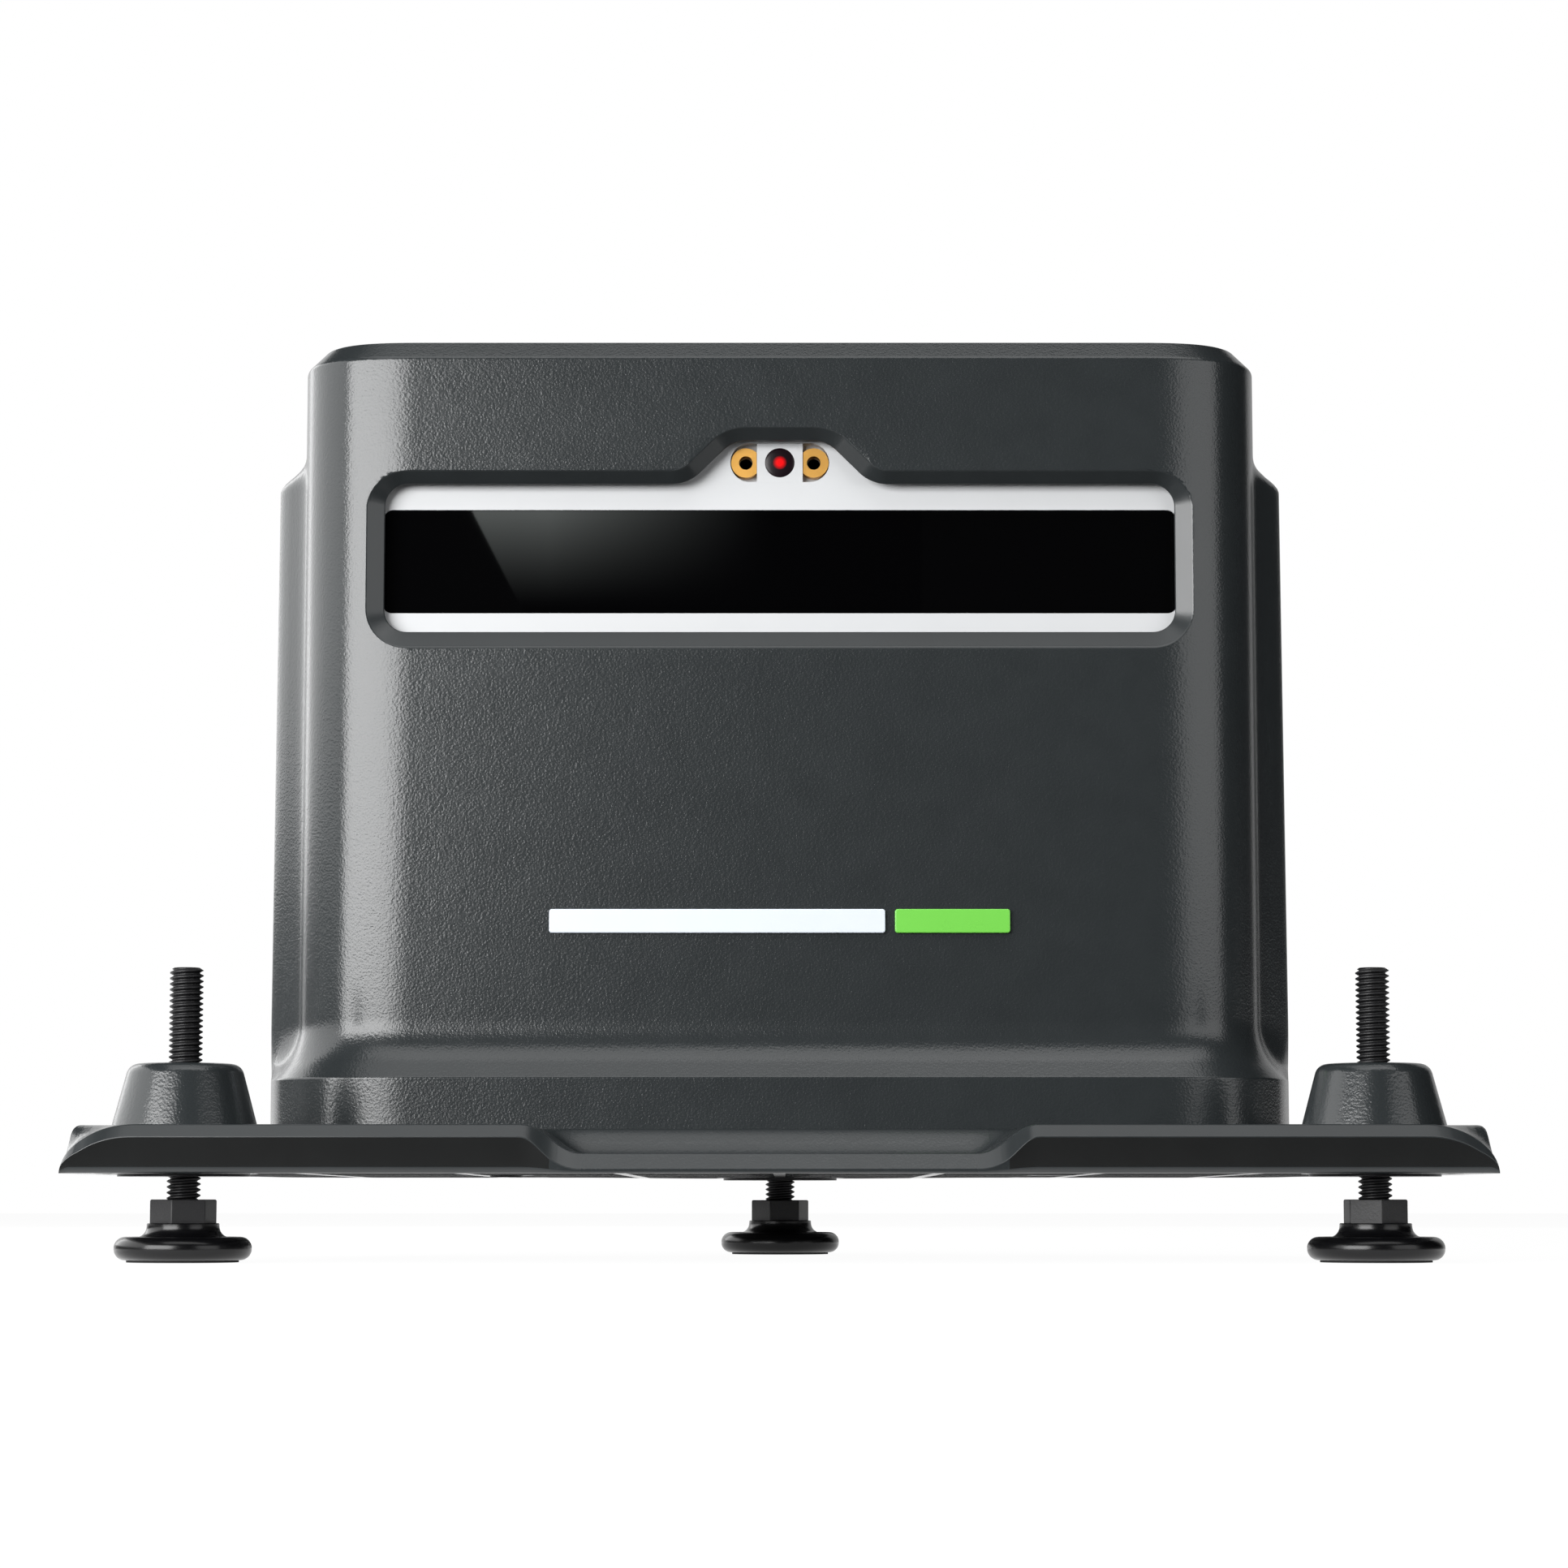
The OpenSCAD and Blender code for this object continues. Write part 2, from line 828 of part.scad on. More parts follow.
cell_d = 18.6;
cell_l = 65;
cell_y = -12;

// three cells side by side in one wrap
module battery_pack() {
  z0 = unit_z + 12;
  color([0.1, 0.2, 0.45]) in_frame()
    union() {
      for (i = [0 : 2])
        translate([-cell_l / 2, cell_y, z0 + cell_d / 2 + i * cell_d])
          rotate([0, 90, 0])
            cylinder(d = cell_d, h = cell_l);
      block([-cell_l / 2, cell_y - 4, z0 + cell_d / 2], [cell_l / 2, cell_y + 4, z0 + 2.5 * cell_d]);
    }
}

// shelf fixed behind the front wall that carries the battery
module battery_tray() {
  z0 = unit_z + 12;
  color(soft_black) in_frame()
    union() {
      block([-36, unit_front + face_t, z0 - 2], [36, -2, z0]);
      block([-36, unit_front + face_t, z0 - 1], [36, unit_front + face_t + 2, z0 + 40]);
    }
}

module io_board() {
  color(board_green) in_frame()
    block([port_x - 12, board_y + board_t, rear_port_z - 3.2],
      [port_x + 12, unit_rear - shell - 0.5, rear_port_z - 1.6]);
}

module usb_port() {
  color(steel_tone) in_frame()
    difference() {
      facing(unit_rear - 10, unit_rear - 0.2)
        translate([port_x, rear_port_z])
          rounded_rect(9, 3.2, 1);
      facing(unit_rear - 8, unit_rear + eps)
        translate([port_x, rear_port_z])
          difference() {
            rounded_rect(8.4, 2.6, 0.8);
            square([6.6, 0.7], center = true);
          }
    }
}

// small board with the push switch behind the power button
module switch_board() {
  color(soft_black) in_frame()
    union() {
      bar_y(button_x, rear_port_z, 5, board_y + board_t, 13.5);
      block([button_x - 7, 13, rear_port_z - 6], [button_x + 7, 14.5, rear_port_z + 6]);
      block([button_x - 3, 14, rear_port_z - 3], [button_x + 3, 18.8, rear_port_z + 3]);
      bar_y(button_x, rear_port_z, 3.4, 18.5, unit_rear - 7 - button_travel - 0.1);
    }
}

module light_pipe() {
  color([0.85, 0.95, 0.9]) in_frame()
    bar_y(pipe_x, rear_port_z, pipe_d, board_y + board_t, unit_rear + 0.1);
}

module antenna_board() {
  color(board_green) in_frame()
    block([-30, unit_rear - shell - 1.2, unit_top - 22], [30, unit_rear - shell, unit_top - 10]);
}

// flat cable from the camera bracket to the main board
module ribbon_cable() {
  t = 0.4;
  y0 = bracket_y + bracket_t;
  z0 = window_z - 8;
  color([0.75, 0.7, 0.55]) in_frame()
    translate([20, 0, 0])
      rotate([90, 0, 90])
        linear_extrude(18)
          polygon([
            [y0, z0], [y0 + t, z0], [y0 + t, board_z[1] + 3], [board_y, board_z[1] - 4],
            [board_y, board_z[1] - 12], [board_y - t, board_z[1] - 12],
            [board_y - t, board_z[1] - 4.2], [y0, board_z[1] + 2.8]
          ]);
}

// ---- moving parts ----

module power_button() {
  flange_y = unit_rear - shell - 0.1;
  color(soft_black) in_frame()
    union() {
      bar_y(button_x, rear_port_z, button_d - 2 * slip, flange_y - 0.5, unit_rear + button_travel);
      bar_y(button_x, rear_port_z, button_d + 2, flange_y - 1, flange_y);
      bar_y(button_x, rear_port_z, 4, unit_rear - 7, flange_y - 0.5);
    }
}

// one foot: stud, hexagon, hollow-curved neck and round pad in one moulding, open below for the sole
module foot_at(f) {
  pad_h = 5;
  rim = 2.2;
  neck_r = 7.2;
  color(soft_black) in_frame()
    translate([f[1], f[2], 0])
      difference() {
        union() {
          rotate_extrude()
            polygon(concat(
              [[0, 0.4]],
              [for (i = [0 : curve_steps])
                let (a = -90 + 90 * i / curve_steps)
                [pad_d / 2 - rim + rim * cos(a), 0.4 + rim + rim * sin(a)]],
              [for (i = [0 : curve_steps])
                let (a = 90 * i / curve_steps)
                [pad_d / 2 - rim + rim * cos(a), pad_h - rim + rim * sin(a)]],
              [for (i = [0 : curve_steps])
                let (a = 90 * i / curve_steps)
                [neck_r + 2.65 * (1 - sin(a)), hex_z - 2.65 * cos(a)]],
              [[0, hex_z]]
            ));
          translate([0, 0, hex_z - 0.1])
            rotate([0, 0, 18])
              cylinder(d = hex_af / cos(30), h = hex_top - hex_z + 0.1, $fn = 6);
          translate([0, 0, hex_top - 1])
            cylinder(d = stud_sheet_d - 2 * slip, h = stud_top - hex_top + 1);
        }
        translate([0, 0, -eps])
          cylinder(d = sole_d + 2 * slip, h = sole_t + slip + eps);
        translate([0, 0, -eps])
          cylinder(d = pivot_d + 2 * slip, h = 4 + eps);
      }
}

// grip sole that stays still on the floor while its foot turns on the sole's pivot
module sole_at(f) {
  color([0.03, 0.03, 0.03]) in_frame()
    translate([f[1], f[2], 0]) {
      cylinder(d = sole_d, h = sole_t);
      cylinder(d = pivot_d, h = 3.9);
    }
}

module foot_left() {
  foot_at(feet[0]);
}

module foot_right() {
  foot_at(feet[1]);
}

module foot_rear() {
  foot_at(feet[2]);
}

module sole_left() {
  sole_at(feet[0]);
}

module sole_right() {
  sole_at(feet[1]);
}

module sole_rear() {
  sole_at(feet[2]);
}

base_plate();
cover();
thread_inserts();
cover_screws();
badge_bar();
badge_accent();
foam_bottom();
foam_top();
foam_left();
foam_right();
foam_rear();
foam_front();
front_housing();
rear_housing();
window();
window_gasket();
pointer_block();
pointer_lens();
pointer_sleeves();
pointer_module();
camera_barrels();
camera_lenses();
camera_bracket();
flash_board();
flash_leds();
main_board();
shield_can();
battery_pack();
battery_tray();
io_board();
usb_port();
switch_board();
light_pipe();
antenna_board();
ribbon_cable();
housing_screws();
power_button();
foot_left();
foot_right();
foot_rear();
sole_left();
sole_right();
sole_rear();
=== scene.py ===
"""A golf launch monitor in its protective cover, on a base plate with three levelling feet."""
from math import acos, cos, pi, radians, sin, sqrt, tan

import bmesh
import bpy
from mathutils import Matrix, Vector, noise


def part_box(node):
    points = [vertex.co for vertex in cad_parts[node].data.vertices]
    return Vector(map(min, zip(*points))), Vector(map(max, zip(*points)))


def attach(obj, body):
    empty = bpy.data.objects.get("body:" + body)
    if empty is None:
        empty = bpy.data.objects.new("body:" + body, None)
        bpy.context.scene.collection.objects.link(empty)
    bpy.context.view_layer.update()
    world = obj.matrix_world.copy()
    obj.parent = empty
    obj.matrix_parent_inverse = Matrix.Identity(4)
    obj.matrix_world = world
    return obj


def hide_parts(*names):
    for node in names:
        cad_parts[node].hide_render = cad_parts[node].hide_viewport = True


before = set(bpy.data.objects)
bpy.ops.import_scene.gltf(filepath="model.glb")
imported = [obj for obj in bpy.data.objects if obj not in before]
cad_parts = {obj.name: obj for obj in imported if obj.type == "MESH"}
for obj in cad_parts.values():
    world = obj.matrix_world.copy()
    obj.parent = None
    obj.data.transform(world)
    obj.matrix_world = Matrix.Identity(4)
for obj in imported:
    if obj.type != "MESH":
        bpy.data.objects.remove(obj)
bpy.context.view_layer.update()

UNIT = 0.0009  # metres in one unit of the sheet the shapes are laid out on, as in the CAD


# ---------------------------------------------------------------- the frame's sizes, in sheet units

def node_box(node):
    """Lowest and highest corner of a CAD node."""
    low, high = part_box(node)
    return low / UNIT, high / UNIT


def middle(node):
    """Middle of a CAD node's box."""
    low, high = node_box(node)
    return (low + high) / 2


def solid_boxes(node):
    """Corners of each separate solid in a CAD node, sorted by place."""
    bm = bmesh.new()
    bm.from_mesh(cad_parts[node].data)
    bmesh.ops.remove_doubles(bm, verts=bm.verts, dist=1e-6)
    left = set(bm.verts)
    boxes = []
    while left:
        group, front = set(), [next(iter(left))]
        while front:
            vert = front.pop()
            if vert in group:
                continue
            group.add(vert)
            front += [edge.other_vert(vert) for edge in vert.link_edges]
        left -= group
        low = Vector([min(v.co[axis] for v in group) for axis in range(3)]) / UNIT
        high = Vector([max(v.co[axis] for v in group) for axis in range(3)]) / UNIT
        boxes.append((low, high))
    bm.free()
    return sorted(boxes, key=lambda pair: tuple(round(c, 3) for c in pair[0]))


cover_low, cover_high = node_box("cover")
plate_low, plate_high = node_box("base_plate")
MID_Y = (cover_low.y + cover_high.y) / 2
COVER_TOP = cover_high.z
PLATE_TOP = cover_low.z
PLATE_Z = plate_low.z

WALL = 3
FLARE_OUT = 5.5
BULGE_OUT = 6.2
BODY_HALF_W = cover_high.x - BULGE_OUT
BODY_HALF_D = (cover_high.y - cover_low.y) / 2 - FLARE_OUT
CORNER_R = 18.2
CORNER_EASE = 44
EASE_ANGLE = radians(26)
LEDGE_Z = PLATE_TOP + 10.6
FLARE_TOP = LEDGE_Z + 9.0
TOP_CHAMFER = 4
SHOULDER_Z = COVER_TOP - 21.6
BULGE_FLAT = 8
BULGE_REACH = 20.5
# radius and pitch of an M6 thread
STUD_R = 0.003 / UNIT
PITCH = 0.001 / UNIT

feet = {side: middle("foot_" + side) for side in ("left", "right", "rear")}


# ---------------------------------------------------------------- meshes

def build(name, verts, faces, kinds=None):
    """A mesh object from points in sheet units; kinds gives each face its material's number."""
    mesh = bpy.data.meshes.new(name)
    mesh.from_pydata([Vector(v) * UNIT for v in verts], [], faces)
    if kinds:
        mesh.polygons.foreach_set("material_index", kinds)
    bm = bmesh.new()
    bm.from_mesh(mesh)
    bmesh.ops.recalc_face_normals(bm, faces=bm.faces)
    bm.to_mesh(mesh)
    bm.free()
    obj = bpy.data.objects.new(name, mesh)
    bpy.context.scene.collection.objects.link(obj)
    return obj


def loft(name, rings, kind_of=None, end_kind=0):
    """A closed solid through rings of equally many points; kind_of(ring, point) picks materials."""
    count = len(rings[0])
    verts = [point for ring in rings for point in ring]
    faces, kinds = [], []
    for i in range(len(rings) - 1):
        for j in range(count):
            a = i * count + j
            b = i * count + (j + 1) % count
            faces.append((a, b, b + count, a + count))
            kinds.append(kind_of(i, j) if kind_of else 0)
    faces.append(tuple(reversed(range(count))))
    faces.append(tuple(range(len(verts) - count, len(verts))))
    kinds += [end_kind, end_kind]
    return build(name, verts, faces, kinds)


def lathe(name, profile, steps=64, at=(0, 0, 0), kind_of=None):
    """A solid turned about Z from (radius, height) points that run from one end to the other."""
    rings = []
    for radius, height in profile:
        turns = [2 * pi * k / steps for k in range(steps)]
        rings.append([(at[0] + radius * cos(t), at[1] + radius * sin(t), at[2] + height) for t in turns])
    return loft(name, rings, kind_of)


def apply_modifiers(obj):
    """Turns what an object's modifiers make of it into its own mesh."""
    bpy.context.view_layer.update()
    shape = obj.evaluated_get(bpy.context.evaluated_depsgraph_get())
    mesh = bpy.data.meshes.new_from_object(shape)
    old = obj.data
    obj.modifiers.clear()
    obj.data = mesh
    bpy.data.meshes.remove(old)


def combine(obj, tool, operation="DIFFERENCE"):
    """Exact boolean of obj with a tool, which is used up."""
    modifier = obj.modifiers.new("combine", "BOOLEAN")
    modifier.operation = operation
    modifier.solver = "EXACT"
    modifier.object = tool
    apply_modifiers(obj)
    bpy.data.objects.remove(tool, do_unlink=True)


def shade(obj, sharp=38):
    """Smooth shading that stops at edges sharper than an angle in degrees."""
    bm = bmesh.new()
    bm.from_mesh(obj.data)
    for face in bm.faces:
        face.smooth = True
    for edge in bm.edges:
        edge.smooth = len(edge.link_faces) == 2 and edge.calc_face_angle() < radians(sharp)
    bm.to_mesh(obj.data)
    bm.free()
    even = obj.modifiers.new("even_shading", "WEIGHTED_NORMAL")
    even.keep_sharp = True


def paint(obj, *materials):
    """Gives a piece its materials; each face keeps its material's number."""
    numbers = [face.material_index for face in obj.data.polygons]
    obj.data.materials.clear()
    for material in materials:
        obj.data.materials.append(material)
    obj.data.polygons.foreach_set("material_index", numbers)


def place(obj, body, slot_name, *nodes):
    """Hangs a finished piece on its body, in place of CAD nodes."""
    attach(obj, body)
    if nodes:
        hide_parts(*nodes)
    return obj


def s_curve(t):
    """Soft S from 0 to 1, level at both ends."""
    t = min(max(t, 0), 1)
    return (1 - cos(pi * t)) / 2


def mix(a, b, t):
    """The value a share of the way from a to b."""
    return a + (b - a) * t


def filleted(points, radii, steps=8, closed=True):
    """Outline with round corners: (x, y), outward normal and source corner of each of its points."""
    result = []
    count = len(points)
    for i, point in enumerate(points):
        here = Vector(point)
        before = (here - Vector(points[i - 1])).normalized()
        after = (Vector(points[(i + 1) % count]) - here).normalized()
        if not closed and i == 0:
            before = after
        if not closed and i == count - 1:
            after = before
        turn = -before.angle_signed(after, 0)
        if radii[i] == 0:
            along = (before + after).normalized()
            result.append((here, Vector((along.y, -along.x)), i))
            continue
        start = here - before * radii[i] * tan(abs(turn) / 2)
        left = Vector((-before.y, before.x))
        side = 1 if turn > 0 else -1
        centre = start + left * radii[i] * side
        for k in range(steps + 1):
            spin = Matrix.Rotation(turn * k / steps, 2)
            along = spin @ before
            result.append((centre + spin @ (start - centre), Vector((along.y, -along.x)), i))
    return result


# ---------------------------------------------------------------- materials

def nodes_of(material):
    """A material's node tree, emptied."""
    material.use_nodes = True
    tree = material.node_tree
    tree.nodes.clear()
    return tree


def add(tree, kind, values=None, **settings):
    """A shader node with its settings, and input values by name."""
    node = tree.nodes.new(kind)
    for key, value in settings.items():
        setattr(node, key, value)
    for key, value in (values or {}).items():
        node.inputs[key].default_value = value
    return node


def remap(tree, source, low, high, from_low=0.0, from_high=1.0):
    """A value stretched from one range to another."""
    node = add(tree, "ShaderNodeMapRange", {
        "From Min": from_low, "From Max": from_high, "To Min": low, "To Max": high
    })
    tree.links.new(source, node.inputs["Value"])
    return node.outputs["Result"]


def noise_at(tree, size, detail=2.0):
    """Noise with features of a size in sheet units."""
    node = add(tree, "ShaderNodeTexNoise", {
        "Scale": 1 / (size * UNIT), "Detail": detail, "Roughness": 0.5
    })
    tree.links.new(object_space(tree), node.inputs["Vector"])
    return node.outputs["Fac"]


def object_space(tree):
    """The point being shaded, in metres."""
    return add(tree, "ShaderNodeTexCoord").outputs["Object"]


def bump(tree, height, depth, before=None):
    """Bump from a height of 0 to 1 that stands for a depth in sheet units."""
    node = add(tree, "ShaderNodeBump", {"Strength": 1.0, "Distance": depth * UNIT})
    tree.links.new(height, node.inputs["Height"])
    if before:
        tree.links.new(before, node.inputs["Normal"])
    return node.outputs["Normal"]


def tone(tree, source, dark, light):
    """Colour between two tones along a value."""
    ramp = add(tree, "ShaderNodeValToRGB")
    ramp.color_ramp.elements[0].color = (*dark, 1)
    ramp.color_ramp.elements[1].color = (*light, 1)
    tree.links.new(source, ramp.inputs["Fac"])
    return ramp.outputs["Color"]


def surface(name, colour, rough, metallic=0.0, grain=None, vary=0.12, fine=None, **extra):
    """A principled surface: grain is (size, depth) of a moulded pebble, fine of a faint unevenness."""
    material = bpy.data.materials.new(name)
    tree = nodes_of(material)
    shader = add(tree, "ShaderNodeBsdfPrincipled", {"Metallic": metallic})
    for key, value in extra.items():
        shader.inputs[key.replace("_", " ")].default_value = value
    output = add(tree, "ShaderNodeOutputMaterial")
    tree.links.new(shader.outputs["BSDF"], output.inputs["Surface"])
    mottle = noise_at(tree, 9, 4.0)
    darker = [c * (1 - vary) for c in colour]
    lighter = [min(c * (1 + vary), 1) for c in colour]
    tree.links.new(tone(tree, mottle, darker, lighter), shader.inputs["Base Color"])
    tree.links.new(remap(tree, mottle, rough * 0.92, rough * 1.08), shader.inputs["Roughness"])
    normal = None
    if grain:
        size, depth = grain
        cells = add(tree, "ShaderNodeTexVoronoi", {"Scale": 1 / (size * UNIT), "Smoothness": 1.0},
                    feature="SMOOTH_F1")
        wobble = add(tree, "ShaderNodeTexNoise", {"Scale": 0.7 / (size * UNIT), "Detail": 2.0})
        tree.links.new(object_space(tree), wobble.inputs["Vector"])
        shift = add(tree, "ShaderNodeVectorMath", {1: (size * UNIT * 1.2,) * 3}, operation="MULTIPLY")
        tree.links.new(wobble.outputs["Color"], shift.inputs[0])
        moved = add(tree, "ShaderNodeVectorMath", operation="ADD")
        tree.links.new(object_space(tree), moved.inputs[0])
        tree.links.new(shift.outputs["Vector"], moved.inputs[1])
        tree.links.new(moved.outputs["Vector"], cells.inputs["Vector"])
        normal = bump(tree, cells.outputs["Distance"], depth)
    if fine:
        size, depth = fine
        normal = bump(tree, noise_at(tree, size, 3.0), depth, normal)
    if normal:
        tree.links.new(normal, shader.inputs["Normal"])
    return material


CHARCOAL = (0.021, 0.0245, 0.026)
charcoal_grain = surface("charcoal_grain", CHARCOAL, 0.22, grain=(0.45, 0.03), fine=(1.6, 0.02))
charcoal_smooth = surface("charcoal_smooth", CHARCOAL, 0.30, fine=(1.1, 0.006))
# Smoother, glossier charcoal for the plate's front wall; its colour is darkened below CHARCOAL as painted
# shade of the undercut wall.
charcoal_gloss_painted_shade = surface("charcoal_gloss_painted_shade", (0.012, 0.0125, 0.0125), 0.20, fine=(6, 0.02))
charcoal_inside = surface("charcoal_inside", (0.03, 0.032, 0.034), 0.5, fine=(1.5, 0.04))
black_steel = surface("black_steel", (0.012, 0.012, 0.013), 0.42, metallic=0.6, fine=(0.5, 0.01))
badge_grey = surface("badge_grey", (0.68, 0.73, 0.80), 0.28, vary=0.03, fine=(3, 0.01))
badge_green = surface("badge_green", (0.16, 0.56, 0.07), 0.28, vary=0.03, fine=(3, 0.01))
foam_grey = surface("foam_grey", (0.035, 0.036, 0.04), 0.95, grain=(0.9, 0.6), vary=0.35, fine=(4, 0.5))
white_shell = surface("white_shell", (0.585, 0.595, 0.605), 0.34, vary=0.02, fine=(4, 0.01))
dark_window = surface("dark_window", (0.001, 0.001, 0.0012), 0.015, vary=0.02)
gasket_rubber = surface("gasket_rubber", (0.012, 0.012, 0.012), 0.7, fine=(0.8, 0.03))
brass = surface("brass", (0.78, 0.42, 0.10), 0.34, metallic=0.9, fine=(0.4, 0.01))
black_aluminium = surface("black_aluminium", (0.02, 0.02, 0.022), 0.4, metallic=0.7, fine=(0.4, 0.01))
lens_glass = surface("lens_glass", (0.02, 0.012, 0.05), 0.03, Coat_Weight=1.0)
aluminium = surface("aluminium", (0.55, 0.56, 0.58), 0.38, metallic=1.0, fine=(0.4, 0.02))
circuit_board = surface("circuit_board", (0.012, 0.10, 0.04), 0.35, vary=0.3, fine=(1.2, 0.03))
led_resin = surface("led_resin", (0.85, 0.72, 0.35), 0.15, vary=0.05)
tinned_steel = surface("tinned_steel", (0.58, 0.58, 0.60), 0.27, metallic=1.0, fine=(0.6, 0.01))
battery_wrap = surface("battery_wrap", (0.02, 0.06, 0.28), 0.3, fine=(5, 0.05))
black_moulding = surface("black_moulding", (0.015, 0.015, 0.016), 0.42, grain=(0.5, 0.03))
clear_pipe = surface("clear_pipe", (0.65, 0.85, 0.8), 0.12, vary=0.02, Transmission_Weight=0.5)
ribbon = surface("ribbon", (0.55, 0.36, 0.13), 0.3, fine=(1, 0.02))
foot_nylon = surface("foot_nylon", (0.0025, 0.0025, 0.003), 0.24, fine=(1.4, 0.01), Specular_IOR_Level=0.32)
hex_nylon = surface("hex_nylon", (0.008, 0.008, 0.009), 0.5, grain=(0.4, 0.03), Specular_IOR_Level=0.4)
sole_rubber = surface("sole_rubber", (0.01, 0.01, 0.01), 0.8, fine=(0.8, 0.06))


def glowing_lens():
    """Dark polished lens with a soft red light at its middle."""
    material = bpy.data.materials.new("pointer_glow")
    tree = nodes_of(material)
    low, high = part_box("pointer_lens")
    centre = (low + high) / 2
    away = add(tree, "ShaderNodeVectorMath", {1: (centre.x, low.y, centre.z)}, operation="DISTANCE")
    tree.links.new(object_space(tree), away.inputs[0])
    spot = remap(tree, away.outputs["Value"], 1.0, 0.0, 0.35 * UNIT, 1.5 * UNIT)
    shader = add(tree, "ShaderNodeBsdfPrincipled", {
        "Base Color": (0.008, 0.004, 0.006, 1), "Roughness": 0.25, "Specular IOR Level": 0.2,
        "Emission Color": (1.0, 0.0, 0.0, 1)
    })
    strength = add(tree, "ShaderNodeMath", {1: 1.3}, operation="MULTIPLY")
    tree.links.new(spot, strength.inputs[0])
    tree.links.new(strength.outputs["Value"], shader.inputs["Emission Strength"])
    output = add(tree, "ShaderNodeOutputMaterial")
    tree.links.new(shader.outputs["BSDF"], output.inputs["Surface"])
    return material


# ---------------------------------------------------------------- the cover

def corner_curve():
    """A quarter corner whose curve starts gently: (x, y) from its start and the normal's angle."""
    steps, fine = 40, 25
    x = y = 0.0
    curve = [(0.0, 0.0, 0.0)]
    for k in range(steps * fine):
        angle = (k + 0.5) / (steps * fine) * pi / 2
        ease = max(1 - min(angle, pi / 2 - angle) / EASE_ANGLE, 0) ** 2
        step = (CORNER_R + CORNER_EASE * ease) * pi / 2 / (steps * fine)
        x += cos(angle) * step
        y += sin(angle) * step
        if (k + 1) % fine == 0:
            curve.append((x, y, (k + 1) / (steps * fine) * pi / 2))
    return curve


CORNER = corner_curve()
CORNER_SIZE = CORNER[-1][0]


def cover_plan():
    """Points round the cover's body, anticlockwise: (x, y, normal x, normal y)."""
    side_steps, front_steps = 24, 16
    straight_x = BODY_HALF_W - CORNER_SIZE
    straight_y = BODY_HALF_D - CORNER_SIZE
    plan = []
    for quarter in range(4):
        turn = Matrix.Rotation(quarter * pi / 2, 2)
        ahead, half, length = (straight_y, BODY_HALF_W, 2 * straight_x)
        steps = front_steps
        if quarter % 2:
            ahead, half, length = (straight_x, BODY_HALF_D, 2 * straight_y)
            steps = side_steps
        for out, back, angle in CORNER:
            here = turn @ Vector((half - back, ahead + out))
            normal = turn @ Vector((cos(angle), sin(angle)))
            plan.append((here.x, here.y, normal.x, normal.y))
        for k in range(1, steps):
            step = turn @ Vector((-length * k / steps, 0))
            plan.append((here.x + step.x, here.y + step.y, normal.x, normal.y))
    return plan


def bulge_across(y):
    """How much of the side bulge there is at a depth, 0 to 1."""
    return 1 - s_curve((abs(y) - BULGE_FLAT) / (BULGE_REACH - BULGE_FLAT))


def bulge_up(z):
    """How much of the side bulge there is at a height: a sloping shoulder, then a slow draft."""
    shoulder = 0.99 * s_curve((SHOULDER_Z - z) / 7)
    draft = 0.08 * min(max((SHOULDER_Z - 7 - z) / 115, 0), 1)
    return shoulder + draft


def cover_ring(plan, z, out, bulge_scale=1.0):
    """The cover's outline at a height, moved outwards, with the side bulges added along X."""
    ring = []
    for x, y, nx, ny in plan:
        bulge = max(BULGE_OUT - max(out, 0), 0) * bulge_across(y) * bulge_up(z) * bulge_scale
        side = 1 if x > 0 else -1
        ring.append((x + nx * out + side * bulge, MID_Y + y + ny * out, z))
    return ring


def cover_levels():
    """(height, distance out) up the outside: band, round ledge, hollow flare, wall, top chamfer."""
    bend_r, knee = 15.0, FLARE_TOP - 2.0
    outline = [(FLARE_OUT, PLATE_TOP), (FLARE_OUT, LEDGE_Z), (0, knee), (0, knee + 6)]
    levels = [(p.y, p.x) for p, _, _ in filleted(outline, [0, 0.8, bend_r, 0], 10, closed=False)]
    draft = 0.1
    wall_top = COVER_TOP - TOP_CHAMFER
    heights = [FLARE_TOP + 10 * k for k in range(1, 10)]
    heights += [SHOULDER_Z - 22 + 0.8 * k for k in range(31)]
    heights += [wall_top - 6, wall_top - 3]
    for z in sorted(heights):
        levels.append((z, -draft * (z - FLARE_TOP) / (wall_top - FLARE_TOP)))
    top = [(-draft, wall_top - 3), (-draft, wall_top), (-draft - TOP_CHAMFER, COVER_TOP), (-12, COVER_TOP)]
    levels += [(p.y, p.x) for p, _, _ in filleted(top, [0, 1.2, 1.0, 0], 5, closed=False)][1:]
    return levels


def front_recess(x):
    """How far the round corner has fallen back from the flat front at a distance from the middle."""
    past = max(abs(x) - (BODY_HALF_W - CORNER_SIZE), 0)
    for (x0, y0, _), (x1, y1, _) in zip(CORNER, CORNER[1:]):
        if past <= x1:
            return mix(y0, y1, (past - x0) / (x1 - x0))
    return y1


def opening_outline():
    """The front opening with its raised middle, anticlockwise in X and Z, seen from the front."""
    half_w, bottom, top = 83.35, 131.2, 162.7
    bump_base, bump_half, bump_top = 19.3, 9.9, 172.0
    points = [
        (half_w, bottom), (half_w, top), (bump_base, top), (bump_half, bump_top),
        (-bump_half, bump_top), (-bump_base, top), (-half_w, top), (-half_w, bottom)
    ]
    radii = [4.8, 4.8, 8.5, 7.0, 7.0, 8.5, 4.8, 4.8]
    return filleted(points, radii, 12)


